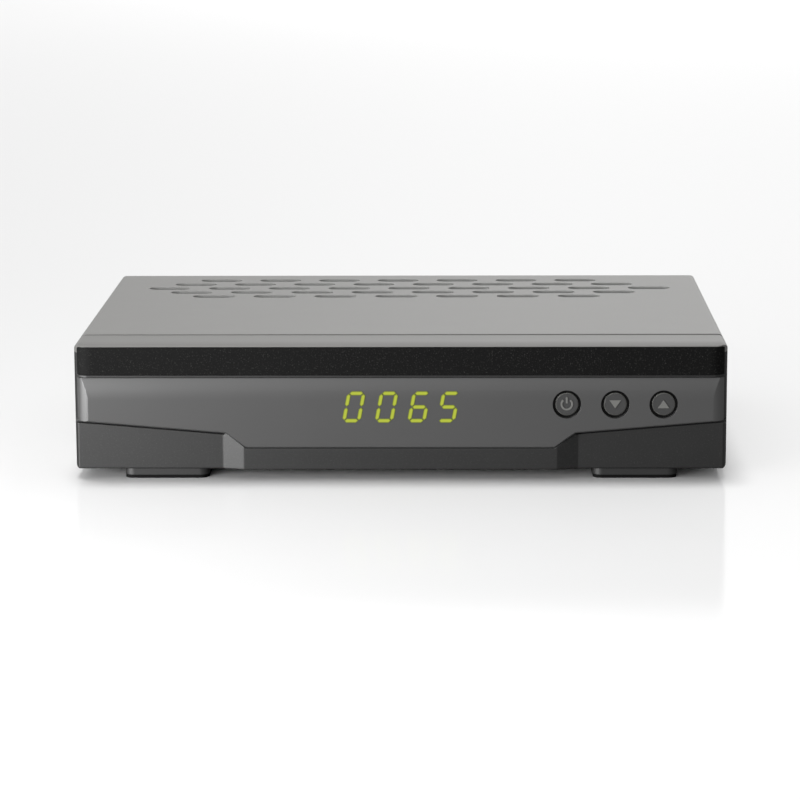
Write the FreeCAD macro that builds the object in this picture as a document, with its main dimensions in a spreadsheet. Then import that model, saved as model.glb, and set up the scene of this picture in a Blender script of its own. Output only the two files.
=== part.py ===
import FreeCAD, Part

# Satellite television receiver: a steel case with a moulded front, a smoked display panel, three push
# buttons, two circuit boards and the sockets of its rear panel.
# Millimetres, +Z up, the front faces -Y. The origin is the bottom centre of the whole box, on the floor.
# In the sums below, "across" runs along X from the middle, "back" runs along +Y from the front of the
# trim band, and "up" runs along +Z from the floor. Left and right are as seen from the front.

import math
import os
import re

import Sketcher
from FreeCAD import Vector

# ----------------------------------------------------------------------------------- driving sizes

DIMENSIONS = (
    ("body_width", 200.0, "front bezel across its widest part"),
    ("body_depth", 140.0, "front of the trim band to the rear edge of the cover"),
    ("body_height", 42.3, "floor to the top of the cover"),
    ("sheet_thickness", 0.8, "steel of the cover and of the chassis"),
    ("sheet_clearance", 0.2, "chassis flanges to the cover around them"),
    # cover
    ("cover_step", 0.3, "cover side set in from the bezel side"),
    ("cover_base", 4.4, "floor to the lower edge of the cover sides"),
    ("cover_bend", 1.6, "outer radius of the two long bends"),
    ("seam_gap", 0.3, "bezel shoulder to the front edge of the cover"),
    ("rear_flange_height", 8.0, "flange of the cover folded down behind the rear panel"),
    ("slot_length", 14.2, "air slot, end to end"),
    ("slot_width", 5.4, "air slot across"),
    ("slot_row_pitch", 8.75, "one row of air slots to the next"),
    ("slot_row_shift", 8.15, "sideways step of a row against the longer row beside it"),
    ("slot_rear_margin", 11.0, "rear edge to the middle of the rear row"),
    ("slot_left_margin", 12.7, "bezel side to the first slot of the middle row"),
    ("slot_right_margin", 10.7, "bezel side to the last slot of the middle row"),
    # bezel
    ("bezel_depth", 18.0, "front of the trim band to the seam with the cover"),
    ("bezel_wall", 2.0, "wall of the moulding"),
    ("corner_radius", 5.5, "front corners seen from above"),
    ("wing_setback", 2.2, "front of the band to the lower wings and the seat of the panel"),
    ("strip_setback", 0.3, "front of the band to the middle strip under the panel"),
    ("rib_setback", 0.2, "front of the band to the thin rib between band and panel"),
    ("rib_height", 0.8, "thin rib between band and panel"),
    ("ledge_step", 0.2, "top of the ledge below the top of the cover"),
    ("ledge_fall", 0.8, "fall of the ledge from its flat part to its front edge"),
    ("ledge_curve_length", 5.5, "front to back length of the falling part of the ledge"),
    ("ledge_nose", 0.4, "front of the band to the nose of the ledge"),
    ("ledge_end_radius", 2.0, "long top edges of the bezel at its two ends"),
    ("lower_corner_radius", 1.5, "outer lower corners of the wings"),
    ("strip_half", 48.0, "middle of the object to the end of the flat of the strip"),
    ("strip_slope", 6.5, "width of the sloping face between strip and wing"),
    ("lip_length", 3.0, "lip that the cover slides over"),
    ("lip_thickness", 1.3, "wall of that lip"),
    ("lip_clearance", 0.15, "lip to the cover around it"),
    ("trim_gap", 0.1, "band and panel to the bezel edges around them"),
    ("seam_drop", 0.7, "groove in the wings, below the lower edge of the panel"),
    ("seam_lift", 0.5, "that groove, behind the panel"),
    ("seam_depth", 1.2, "that groove, front to back"),
    ("ledge_nose_height", 0.1, "front edge of the ledge, above the seat of the band"),
    ("floor_gap", 0.1, "lower wall of the bezel to the front edge of the chassis"),
    ("overrun", 0.1, "cuts and bosses past the wall they start from"),
    # trim band and display panel
    ("band_height", 8.7, "black band, with its two gaps"),
    ("band_corner_radius", 2.2, "upper corners of the band"),
    ("panel_setback", 0.1, "front of the band to the front of the panel"),
    ("panel_end_height", 13.3, "panel at its ends"),
    ("panel_shoulder_height", 17.2, "panel at the shoulders of its lower edge"),
    ("panel_base_height", 21.8, "panel in the middle"),
    ("panel_shoulder_half", 53.6, "middle of the object to a shoulder"),
    ("panel_base_half", 47.2, "middle of the object to the end of the lowest edge"),
    ("panel_crown_height", 6.7, "part of the panel that leans back at its top"),
    ("panel_crown_fall", 0.8, "how far its top edge leans back"),
    ("panel_edge", 0.35, "bevel along the lower edges of the panel"),
    # buttons
    ("last_button_margin", 19.6, "bezel side to the last button"),
    ("button_pitch", 14.75, "one button to the next"),
    ("button_below", 8.2, "top of the panel to the button centres"),
    ("button_radius", 3.5, "cap"),
    ("button_recess", 0.7, "front of the panel to the face of the cap"),
    ("well_radius", 4.35, "hole of the panel around a cap"),
    ("button_flange_radius", 4.85, "flange that keeps a button behind the panel"),
    ("button_flange_thickness", 0.8, "that flange"),
    ("button_flange_gap", 0.3, "rear of the panel to the flange"),
    ("button_guide_radius", 5.2, "hole of the bezel around the flange"),
    ("button_stem_radius", 2.0, "stem that meets the switch"),
    ("button_bevel", 0.25, "slope around the face of a cap"),
    ("symbol_relief", 0.25, "raised symbol on a cap"),
    ("symbol_width", 3.6, "arrow symbol across"),
    ("symbol_height", 2.5, "arrow symbol up"),
    ("symbol_ring_radius", 1.9, "power symbol, outer radius of its broken ring"),
    ("symbol_stroke", 0.55, "power symbol, width of its strokes"),
    # front board and what stands on it
    ("board_thickness", 1.6, "both circuit boards"),
    ("front_board_back", 10.5, "front of the band to the front of the front board"),
    ("front_board_left", -34.0, "left end of the front board"),
    ("board_end_margin", 8.0, "bezel side to the ends of the boards"),
    ("front_board_low", 12.2, "floor to the lower edge of the front board"),
    ("front_board_below", 0.5, "top of the panel to the top of the front board"),
    ("front_screw_margin", 3.5, "ends of the front board to its outer screws"),
    ("front_screw_up", 14.9, "floor to the screws of the front board"),
    ("boss_radius", 2.7, "screw bosses of the bezel"),
    ("display_across", 0.8, "middle of the object to the middle of the figures"),
    ("display_below", 8.9, "top of the panel to the middle of the figures"),
    ("module_width", 40.2, "display module"),
    ("module_height", 12.8, "display module"),
    ("module_gap", 0.4, "rear of the panel to the face of the module"),
    ("module_window_gap", 0.3, "module to its window in the bezel"),
    ("figure_pitch", 10.0, "one figure to the next"),
    ("figure_height", 8.5, "figure between the middles of its top and bottom bars"),
    ("figure_width", 4.1, "figure between the middles of its upright bars"),
    ("figure_slant", 0.16, "lean of the figures, across per up"),
    ("segment_thickness", 1.3, "bar of a figure"),
    ("segment_gap", 0.15, "bar end to the corner of the figure"),
    ("segment_relief", 0.3, "light window above the face of the module"),
    ("switch_size", 6.0, "push switch, square"),
    ("switch_height", 3.5, "push switch without its plunger"),
    ("plunger_radius", 1.75, "plunger of a switch"),
    ("plunger_clearance", 0.1, "plunger to its hole"),
    ("plunger_reach", 1.1, "plunger in front of the switch body"),
    ("plunger_depth", 1.5, "plunger inside the switch body"),
    ("plunger_room", 0.7, "free depth behind the plunger"),
    ("receiver_eye_across", -28.0, "middle of the object to the remote control eye"),
    ("receiver_eye_gap", 0.3, "wall of the bezel to the front of the eye"),
    ("receiver_eye_rise", 3.0, "middle of the figures to the middle of the eye"),
    ("receiver_eye_width", 6.0, "remote control eye"),
    ("receiver_eye_height", 7.0, "remote control eye"),
    ("receiver_eye_thickness", 3.0, "remote control eye without its dome"),
    ("receiver_eye_dome", 2.0, "radius of its dome"),
    ("receiver_eye_hole", 2.6, "radius of the hole of the bezel in front of it"),
    ("receiver_eye_leg", 0.5, "square legs of the eye"),
    ("receiver_eye_leg_pitch", 2.0, "one leg of the eye to the next"),
    ("driver_chip_across", 8.0, "display driver chip, middle"),
    ("driver_chip_width", 12.8, "display driver chip"),
    ("driver_chip_height", 5.0, "display driver chip"),
    ("driver_chip_thickness", 1.5, "display driver chip"),
    # chassis
    ("foot_height", 3.2, "floor to the underside of the case"),
    ("chassis_front_back", 9.0, "front of the band to the front flange of the chassis"),
    ("chassis_notch_gap", 0.3, "front of the chassis to the bezel on each side"),
    ("front_flange_height", 8.0, "front flange of the chassis"),
    ("side_flange_height", 9.0, "side flanges of the chassis"),
    ("chassis_bend", 0.7, "outer radius of the chassis bends"),
    ("bezel_screw_margin", 38.0, "bezel side to its outer screws"),
    ("bezel_screw_above", 5.0, "underside of the case to the bezel screws"),
    ("cover_screw_margin", 16.0, "bezel side to the outer rear screws of the cover"),
    ("cover_screw_below", 4.2, "top of the cover to its rear screws"),
    ("floor_slot_length", 18.0, "air slot of the floor"),
    ("floor_slot_width", 3.0, "air slot of the floor"),
    ("floor_slot_pitch", 8.0, "one floor slot to the next"),
    # feet
    ("foot_width", 26.0, "foot across"),
    ("foot_length", 24.0, "foot front to back"),
    ("foot_corner", 3.0, "foot corners seen from above"),
    ("foot_side_margin", 28.0, "bezel side to the middle of a foot"),
    ("front_foot_back", 15.0, "front of the band to the middle of the front feet"),
    ("rear_foot_margin", 17.0, "rear edge of the cover to the middle of the rear feet"),
    ("foot_peg_radius", 2.5, "peg that clips through the chassis"),
    ("foot_peg_clearance", 0.15, "peg to its hole"),
    ("foot_peg_height", 2.6, "peg above the underside of the case"),
    ("foot_pad_thickness", 1.0, "rubber pad"),
    ("foot_pad_margin", 0.1, "edge of the foot to the edge of its pad"),
    # main board and what stands on it
    ("standoff_height", 5.0, "floor of the chassis to the underside of the main board"),
    ("standoff_radius", 3.0, "standoff"),
    ("main_board_length", 76.0, "main board, front to rear"),
    ("main_board_rear_gap", 0.4, "main board to the rear panel"),
    ("main_screw_margin", 6.0, "ends of the main board to its screws"),
    ("main_screw_place", 70.0, "rear edge of the main board to its front screws"),
    ("main_screw_pitch", 36.0, "front screws to rear screws"),
    ("tuner_width", 42.0, "tuner can"),
    ("tuner_length", 28.0, "tuner can"),
    ("tuner_height", 13.5, "tuner can"),
    ("processor_across", 10.0, "processor, middle"),
    ("processor_place", 44.0, "rear edge of the board to the middle of the processor"),
    ("processor_size", 17.0, "processor, square"),
    ("processor_height", 1.4, "processor"),
    ("thermal_pad_size", 15.0, "thermal pad, square"),
    ("thermal_pad_thickness", 0.4, "thermal pad"),
    ("heatsink_size", 23.0, "heatsink, square"),
    ("heatsink_height", 9.0, "heatsink"),
    ("heatsink_base", 2.0, "plate under the fins"),
    ("fin_gap", 2.4, "space between two fins"),
    ("fin_pitch", 3.9, "one space to the next"),
    ("memory_across", 38.0, "memory chip, left side"),
    ("memory_width", 13.5, "memory chip"),
    ("memory_length", 8.0, "memory chip"),
    ("memory_height", 1.1, "memory chip"),
    ("inductor_across", 66.0, "power inductor, middle"),
    ("inductor_place", 48.0, "rear edge of the board to the middle of the inductor"),
    ("inductor_size", 12.0, "power inductor, square"),
    ("inductor_height", 6.5, "power inductor"),
    ("inductor_corner", 4.0, "power inductor, rounding of its upright corners"),
    ("capacitor_radius", 4.0, "both electrolytic capacitors"),
    ("capacitor_height", 11.5, "both electrolytic capacitors"),
    ("input_capacitor_across", 70.0, "input capacitor, middle"),
    ("input_capacitor_place", 24.0, "rear edge of the board to its middle"),
    ("aerial_capacitor_across", -66.0, "capacitor of the aerial supply, middle"),
    ("aerial_capacitor_place", 42.0, "rear edge of the board to its middle"),
    ("crystal_across", -18.0, "crystal, middle"),
    ("crystal_place", 36.0, "rear edge of the board to the middle of the crystal"),
    ("crystal_width", 11.0, "crystal"),
    ("crystal_length", 4.6, "crystal"),
    ("crystal_height", 3.6, "crystal"),
    # ribbon cable
    ("ribbon_across", 36.0, "ribbon cable, middle"),
    ("ribbon_below", 5.7, "top of the panel to the ribbon where it leaves the front board"),
    ("ribbon_width", 10.0, "ribbon cable"),
    ("ribbon_thickness", 1.1, "ribbon cable"),
    ("ribbon_end_place", 70.0, "rear edge of the main board to the ribbon where it goes down"),
    ("plug_width", 14.0, "ribbon connectors"),
    ("plug_depth", 5.0, "ribbon connectors"),
    ("plug_height", 7.5, "ribbon connectors above their board"),
    # rear sockets
    ("aerial_in_share", -0.4, "aerial input: middle of the object to its middle, per body width"),
    ("aerial_out_share", -0.29, "aerial output: middle of the object to its middle, per body width"),
    ("aerial_up", 8.0, "main board to the middle of the aerial sockets"),
    ("aerial_reach", 10.0, "aerial socket behind the rear panel"),
    ("aerial_radius", 4.75, "outside of the aerial socket's thread"),
    ("aerial_neck_radius", 4.5, "aerial socket in the panel, the washer and the nut"),
    ("aerial_bore", 3.4, "inside of the aerial socket"),
    ("aerial_bore_depth", 9.0, "depth of that bore"),
    ("insulator_recess", 0.6, "end of an aerial socket to the insulator in it"),
    ("aerial_shoulder_radius", 6.4, "shoulder of the aerial socket inside the panel"),
    ("aerial_shoulder_thickness", 2.0, "that shoulder"),
    ("aerial_pin_hole", 0.65, "hole for the centre wire of the plug"),
    ("aerial_hole_gap", 0.2, "aerial socket to its hole in the panel"),
    ("washer_radius", 6.5, "lock washer"),
    ("washer_thickness", 0.6, "lock washer"),
    ("nut_flats", 11.2, "nut across its flats"),
    ("nut_thickness", 2.4, "nut"),
    ("thread_gap", 0.1, "nut and washer to the thread"),
    ("socket_gap", 0.35, "socket to its hole in the rear panel"),
    ("socket_proud", 0.6, "socket mouths behind the rear panel"),
    ("hdmi_share", -0.183, "video socket: middle of the object to its middle, per body width"),
    ("hdmi_width", 15.0, "video socket"),
    ("hdmi_height", 5.6, "video socket"),
    ("hdmi_length", 12.0, "video socket"),
    ("hdmi_wall", 0.4, "shell of the video socket"),
    ("hdmi_chamfer", 1.6, "cut lower corners of the video socket"),
    ("hdmi_tongue_half", 5.8, "half of the tongue across"),
    ("hdmi_tongue_thickness", 1.2, "tongue"),
    ("scart_share", 0.03, "peripheral socket: middle of the object to its middle, per body width"),
    ("scart_width", 47.2, "peripheral socket body"),
    ("scart_height", 13.2, "peripheral socket body"),
    ("scart_length", 14.0, "peripheral socket body"),
    ("scart_cut", 4.0, "slanted corner of the peripheral socket"),
    ("scart_rim", 1.1, "rim around the groove"),
    ("scart_groove", 1.3, "groove for the plug's skirt"),
    ("scart_groove_depth", 9.0, "depth of that groove"),
    ("scart_ear_half", 30.3, "middle of the socket to the end of an ear"),
    ("scart_ear_height", 9.0, "ears of the socket"),
    ("scart_ear_thickness", 3.0, "ears of the socket"),
    ("scart_screw_half", 27.4, "middle of the socket to a screw"),
    ("scart_contact_width", 1.2, "contact slot"),
    ("scart_contact_height", 2.6, "contact slot"),
    ("scart_contact_pitch", 3.81, "one contact slot to the next"),
    ("scart_contact_offset", 2.1, "middle of the socket to a row of contact slots"),
    ("audio_share", 0.24, "digital audio socket: middle of the object to its middle, per body width"),
    ("audio_up", 7.0, "main board to the middle of the digital audio socket"),
    ("audio_housing", 10.4, "housing of the digital audio socket, square"),
    ("audio_housing_length", 9.0, "that housing"),
    ("audio_radius", 4.15, "outside of the digital audio socket"),
    ("audio_collar_radius", 4.4, "collar of the digital audio socket in the panel"),
    ("audio_collar_proud", 0.3, "that collar behind the rear panel"),
    ("audio_collar_gap", 0.1, "that collar to its hole in the panel"),
    ("audio_bore", 1.7, "hole of the digital audio socket"),
    ("audio_reach", 8.5, "digital audio socket behind the rear panel"),
    ("audio_bore_depth", 11.0, "depth of that hole"),
    ("usb_share", 0.325, "storage socket: middle of the object to its middle, per body width"),
    ("usb_width", 13.2, "storage socket"),
    ("usb_height", 5.8, "storage socket"),
    ("usb_length", 14.0, "storage socket"),
    ("usb_wall", 0.35, "shell of the storage socket"),
    ("usb_tongue_half", 5.55, "half of the tongue across"),
    ("usb_tongue_thickness", 1.8, "tongue"),
    ("jack_share", 0.4175, "power jack: middle of the object to its middle, per body width"),
    ("jack_width", 9.2, "power jack"),
    ("jack_height", 11.0, "power jack"),
    ("jack_length", 14.0, "power jack"),
    ("jack_bore", 3.15, "hole of the power jack"),
    ("jack_bore_depth", 10.0, "depth of that hole"),
    ("jack_pin", 1.05, "centre pin of the power jack"),
    # screws
    ("screw_radius", 1.3, "all self-tapping screws"),
    ("screw_hole_gap", 0.15, "screw to the hole that it goes into"),
    ("screw_clear_gap", 0.35, "screw to the hole that it passes through"),
    ("screw_head_radius", 2.5, "head"),
    ("screw_head_height", 1.6, "head"),
    ("screw_head_edge", 0.53, "upright edge of a head"),
    ("screw_crown_radius", 1.67, "flat on top of a head"),
    ("screw_length", 5.5, "under the head"),
    ("screw_cross_half", 1.4, "half of the cross recess"),
    ("screw_cross_width", 0.6, "arm of the cross recess"),
    ("screw_cross_depth", 0.9, "depth of the cross recess"),
)
NAMES = {name for name, _, _ in DIMENSIONS}

MIDDLE_ROW_COUNT = 9      # each row beside it has one slot fewer than the last
SIDE_ROW_COUNT = 2           # rows of air slots before and behind the middle row
FLOOR_SLOT_COUNT = 9
FIGURE_COUNT = 4
FIN_SPACE_COUNT = 5
SCART_CONTACT_COUNT = 10
FRONT_SCREW_COUNT = 3
THREE = (-1, 0, 1)           # places of three screws in line about the middle, in pitches
SIDES = (-1, 1)              # left and right
BUTTONS = ("power_button", "channel_down_button", "channel_up_button")
SWITCHES = ("power_switch", "channel_down_switch", "channel_up_switch")
RING_ANGLES = (130, 220, 320, 410)  # degrees at which the arcs of the power symbol's ring meet
SMALL = 1e-6                 # cubic millimetres

# sums that several pieces share
FRONT = "-(body_depth - sheet_thickness + aerial_reach) / 2"
HALF = "(body_width / 2)"
COVER_HALF = f"({HALF} - cover_step)"
COVER_INSIDE = f"({COVER_HALF} - sheet_thickness)"
COVER_CEILING = "(body_height - sheet_thickness)"
COVER_FRONT = "(bezel_depth + seam_gap)"
SLOT_PITCH = f"((body_width - slot_left_margin - slot_right_margin - slot_length) / {MIDDLE_ROW_COUNT - 1})"
REAR_OUTSIDE = "(body_depth - sheet_thickness)"
REAR_INSIDE = "(body_depth - 2 * sheet_thickness)"
LIP_HALF = f"({COVER_INSIDE} - lip_clearance)"
LIP_TOP = f"({COVER_CEILING} - lip_clearance)"
CAVITY_HALF = f"({LIP_HALF} - lip_thickness)"
CAVITY_TOP = f"({LIP_TOP} - lip_thickness)"
CHASSIS_HALF = f"({COVER_INSIDE} - sheet_clearance)"
CHASSIS_FRONT_HALF = f"({CAVITY_HALF} - chassis_notch_gap)"
CHASSIS_WIDE_FROM = "(bezel_depth + lip_length + seam_gap)"
FLOOR_TOP = "(foot_height + sheet_thickness)"
LEDGE_TOP = "(body_height - ledge_step)"
BAND_TOP = f"({LEDGE_TOP} - ledge_fall)"
BAND_LOW = f"({BAND_TOP} - band_height)"
RIB_LOW = f"({BAND_LOW} - rib_height)"
WALL_INSIDE = "(wing_setback + bezel_wall)"
PANEL_TOP = f"({RIB_LOW} - trim_gap)"
PANEL_END_LOW = f"({PANEL_TOP} - panel_end_height)"
PANEL_SHOULDER_LOW = f"({PANEL_TOP} - panel_shoulder_height)"
PANEL_BASE_LOW = f"({PANEL_TOP} - panel_base_height)"
FIRST_BUTTON = f"({HALF} - last_button_margin - {len(BUTTONS) - 1} * button_pitch)"
BUTTON_UP = f"({PANEL_TOP} - button_below)"
DISPLAY_UP = f"({PANEL_TOP} - display_below)"
EYE_UP = f"({DISPLAY_UP} + receiver_eye_rise)"
BUTTON_FACE = "(panel_setback + button_recess)"
FLANGE_FRONT = "(wing_setback + button_flange_gap)"
SWITCH_FRONT = "(front_board_back - switch_height)"
STEM_END = f"({SWITCH_FRONT} - plunger_reach)"
MODULE_FACE = "(wing_setback + module_gap)"
FRONT_BOARD_REAR = "(front_board_back + board_thickness)"
FRONT_BOARD_TOP = f"({PANEL_TOP} - front_board_below)"
FRONT_BOARD_RIGHT = f"({HALF} - board_end_margin)"
FRONT_SCREW_LEFT = "(front_board_left + front_screw_margin)"
FRONT_SCREW_PITCH = (f"(({FRONT_BOARD_RIGHT} - front_screw_margin - {FRONT_SCREW_LEFT})"
                     f" / {FRONT_SCREW_COUNT - 1})")
BOARD_UNDER = f"({FLOOR_TOP} + standoff_height)"
BOARD_TOP = f"({BOARD_UNDER} + board_thickness)"
MAIN_BOARD_HALF = f"({HALF} - board_end_margin)"
MAIN_BOARD_REAR = f"({REAR_INSIDE} - main_board_rear_gap)"
MAIN_BOARD_FRONT = f"({MAIN_BOARD_REAR} - main_board_length)"
MAIN_SCREW_HALF = f"({MAIN_BOARD_HALF} - main_screw_margin)"
MAIN_SCREW_FRONT = f"({MAIN_BOARD_REAR} - main_screw_place)"
PROCESSOR_BACK = f"({MAIN_BOARD_REAR} - processor_place)"
INDUCTOR_BACK = f"({MAIN_BOARD_REAR} - inductor_place)"
INPUT_CAPACITOR_BACK = f"({MAIN_BOARD_REAR} - input_capacitor_place)"
AERIAL_CAPACITOR_BACK = f"({MAIN_BOARD_REAR} - aerial_capacitor_place)"
CRYSTAL_BACK = f"({MAIN_BOARD_REAR} - crystal_place)"
RIBBON_UP = f"({PANEL_TOP} - ribbon_below)"
RIBBON_END_BACK = f"({MAIN_BOARD_REAR} - ribbon_end_place)"
AERIAL_IN = "(aerial_in_share * body_width)"
AERIAL_OUT = "(aerial_out_share * body_width)"
HDMI_ACROSS = "(hdmi_share * body_width)"
SCART_ACROSS = "(scart_share * body_width)"
AUDIO_ACROSS = "(audio_share * body_width)"
USB_ACROSS = "(usb_share * body_width)"
JACK_ACROSS = "(jack_share * body_width)"
SOCKET_MOUTH = f"({REAR_OUTSIDE} + socket_proud)"
AERIAL_UP = f"({BOARD_TOP} + aerial_up)"
AUDIO_UP = f"({BOARD_TOP} + audio_up)"
SCART_UP = f"({BOARD_TOP} + scart_height / 2)"
JACK_UP = f"({BOARD_TOP} + jack_height / 2)"
BEZEL_SCREW_UP = "(foot_height + bezel_screw_above)"
COVER_SCREW_UP = "(body_height - cover_screw_below)"
SCREW_HOLE = "(screw_radius + screw_hole_gap)"
SCREW_CLEAR = "(screw_radius + screw_clear_gap)"
REAR_FOOT_BACK = "(body_depth - rear_foot_margin)"
FOOT_SPREAD = "(body_width - 2 * foot_side_margin)"
BEZEL_SCREW_PITCH = f"({HALF} - bezel_screw_margin)"
COVER_SCREW_PITCH = f"({HALF} - cover_screw_margin)"
MAIN_SCREW_GRID = (("X", 2, f"2 * {MAIN_SCREW_HALF}"), ("Y", 2, "main_screw_pitch"))

DOC = FreeCAD.newDocument("satellite_receiver")
PARTS = []


def write_sheet():
    """Put every driving size into the spreadsheet, with its name as the cell's alias."""
    sheet = DOC.addObject("Spreadsheet::Sheet", "Sizes")
    for line, (name, size, meaning) in enumerate(DIMENSIONS, start=1):
        sheet.set(f"A{line}", name)
        sheet.set(f"B{line}", str(size))
        sheet.set(f"C{line}", meaning)
        sheet.setAlias(f"B{line}", name)
    DOC.recompute()
    return sheet


SHEET = write_sheet()


# ---------------------------------------------------------------------------------- drawing helpers

def cells(total):
    """Turn a sum of plain words into one that names the sheet's cells."""
    return re.sub(r"[a-z_]+", lambda word: f"Sizes.{word[0]}" if word[0] in NAMES else word[0], total)


def amount(total):
    """Work out a sum as a number."""
    return float(SHEET.evalExpression(cells(total)))


def bind(thing, **sums):
    """Tie properties of an object to sums of the sheet's cells."""
    for name, total in sums.items():
        thing.setExpression(name, cells(total))


def place(thing, across="0", back="0", up="0"):
    """Set an object's Placement from the middle, the front and the floor."""
    thing.setExpression("Placement.Base.x", cells(across))
    thing.setExpression("Placement.Base.y", cells(f"{FRONT} + {back}"))
    thing.setExpression("Placement.Base.z", cells(up))


def keep(thing, name):
    """List an object as a finished sub-part under its own label."""
    thing.Label = name
    PARTS.append(thing)
    return thing


def arc_between(start, end, radius, side):
    """Short arc from start to end. Its centre is to the left of that way for side 1, right for -1."""
    chord = end - start
    middle = (start + end) * 0.5
    leftward = Vector(-chord.y, chord.x, 0).normalize()
    rise = math.sqrt(radius ** 2 - (chord.Length / 2) ** 2)
    centre = middle + leftward * (side * rise)
    first, last = (start, end) if side > 0 else (end, start)
    first_angle = math.atan2(first.y - centre.y, first.x - centre.x)
    last_angle = math.atan2(last.y - centre.y, last.x - centre.x)
    circle = Part.Circle(centre, Vector(0, 0, 1), radius)
    return Part.ArcOfCircle(circle, first_angle, last_angle)


def pin(sketch, edge, vertex, across, up):
    """Hold one point of a sketch at two sums, measured from the sketch's origin."""
    for kind, total in (("DistanceX", across), ("DistanceY", up)):
        distance = Sketcher.Constraint(kind, -1, 1, edge, vertex, amount(total))
        sketch.setExpression(f"Constraints[{sketch.addConstraint(distance)}]", cells(total))


def hold_radius(sketch, edge, radius):
    """Tie the radius of an arc or circle to a sum."""
    constraint = Sketcher.Constraint("Radius", edge, amount(radius))
    sketch.setExpression(f"Constraints[{sketch.addConstraint(constraint)}]", cells(radius))


class Outline:
    """Closed outline of lines and arcs. arcs gives, for an edge's number, its radius and its side."""

    def __init__(self, corners, arcs=None):
        self.corners = corners
        self.arcs = arcs or {}

    def draw(self, sketch):
        spots = [Vector(amount(across), amount(up), 0) for across, up in self.corners]
        edges = []
        for number, start in enumerate(spots):
            end = spots[(number + 1) % len(spots)]
            if number in self.arcs:
                radius, side = self.arcs[number]
                edge = sketch.addGeometry(arc_between(start, end, amount(radius), side))
                ends = (1, 2) if side > 0 else (2, 1)
                hold_radius(sketch, edge, radius)
            else:
                edge = sketch.addGeometry(Part.LineSegment(start, end))
                ends = (1, 2)
            edges.append((edge, ends))
        for number, (edge, ends) in enumerate(edges):
            before, before_ends = edges[number - 1]
            sketch.addConstraint(Sketcher.Constraint("Coincident", before, before_ends[1], edge, ends[0]))
            pin(sketch, edge, ends[0], *self.corners[number])


class Disc:
    """Circle with its centre and radius given as sums."""

    def __init__(self, across, up, radius):
        self.across = across
        self.up = up
        self.radius = radius

    def draw(self, sketch):
        centre = Vector(amount(self.across), amount(self.up), 0)
        edge = sketch.addGeometry(Part.Circle(centre, Vector(0, 0, 1), amount(self.radius)))
        hold_radius(sketch, edge, self.radius)
        pin(sketch, edge, 3, self.across, self.up)


def rectangle(left, right, low, high):
    """Four corners, anticlockwise."""
    return Outline([(left, low), (right, low), (right, high), (left, high)])


def rounded(left, right, low, high, radius):
    """Rectangle with four round corners, anticlockwise."""
    corners = [
        (f"({left}) + ({radius})", low), (f"({right}) - ({radius})", low),
        (right, f"({low}) + ({radius})"), (right, f"({high}) - ({radius})"),
        (f"({right}) - ({radius})", high), (f"({left}) + ({radius})", high),
        (left, f"({high}) - ({radius})"), (left, f"({low}) + ({radius})"),
    ]
    return Outline(corners, {edge: (radius, 1) for edge in (1, 3, 5, 7)})


def slot(left, right, middle, width):
    """Slot with round ends, along the sketch's first axis."""
    radius = f"({width}) / 2"
    first, last = f"({left}) + {radius}", f"({right}) - {radius}"
    low, high = f"({middle}) - {radius}", f"({middle}) + {radius}"
    corners = [(first, low), (last, low), (right, middle), (last, high), (first, high), (left, middle)]
    return Outline(corners, {edge: (radius, 1) for edge in (1, 2, 4, 5)})


def polar(radius, degrees):
    """Point of a circle about the sketch's origin."""
    return (f"({radius}) * cos({degrees} deg)", f"({radius}) * sin({degrees} deg)")


def new_body(across="0", back="0", up="0"):
    """Empty body whose own origin lies at a point of the object."""
    body = DOC.addObject("PartDesign::Body", "Body")
    place(body, across, back, up)
    return body


def origin_item(body, role):
    """One of a body's own origin planes or axes."""
    return next(item for item in body.Origin.OriginFeatures if item.Role == role)


def new_sketch(body, plane, level, shapes):
    """Sketch on a body's own plane, moved to a level along the axis that the plane is square to."""
    sketch = body.newObject("Sketcher::SketchObject", "Sketch")
    sketch.AttachmentSupport = [(origin_item(body, f"{plane}_Plane"), "")]
    sketch.MapMode = "FlatFace"
    # the XZ plane faces the front, so its offset runs against the object's own +Y
    sign = "-1" if plane == "XZ" else "1"
    sketch.setExpression("AttachmentOffset.Base.z", cells(f"{sign} * ({level})"))
    for shape in shapes:
        shape.draw(sketch)
    return sketch


def slab(body, plane, level, thickness, *shapes):
    """Pad of outlines from a level towards the axis's positive end."""
    pad = body.newObject("PartDesign::Pad", "Pad")
    pad.Profile = new_sketch(body, plane, level, shapes)
    pad.Reversed = plane == "XZ"
    bind(pad, Length=thickness)
    DOC.recompute()
    return pad


def cut(body, plane, level, depth, *shapes):
    """Pocket of outlines from a level towards the axis's positive end."""
    pocket = body.newObject("PartDesign::Pocket", "Pocket")
    pocket.Profile = new_sketch(body, plane, level, shapes)
    pocket.Reversed = plane != "XZ"
    bind(pocket, Length=depth)
    DOC.recompute()
    return pocket


def turn(body, plane, *shapes):
    """Revolution of half sections about the sketch's upright axis: Z on the XZ plane, Y on the XY plane."""
    revolution = body.newObject("PartDesign::Revolution", "Revolution")
    revolution.Profile = new_sketch(body, plane, "0", shapes)
    revolution.ReferenceAxis = (revolution.Profile[0], ["V_Axis"])
    DOC.recompute()
    return revolution


def repeat(pattern, body, axis, count, pitch):
    """Set a linear pattern's direction, number and pitch."""
    pattern.Direction = (origin_item(body, f"{axis}_Axis"), [""])
    pattern.Mode = "Spacing"
    bind(pattern, Offset=pitch)
    pattern.Occurrences = count
    return pattern


def row(body, features, axis, count, pitch):
    """Repeat features along one of a body's own axes."""
    pattern = body.newObject("PartDesign::LinearPattern", "LinearPattern")
    pattern.Originals = features
    repeat(pattern, body, axis, count, pitch)
    body.Tip = pattern
    DOC.recompute()


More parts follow.
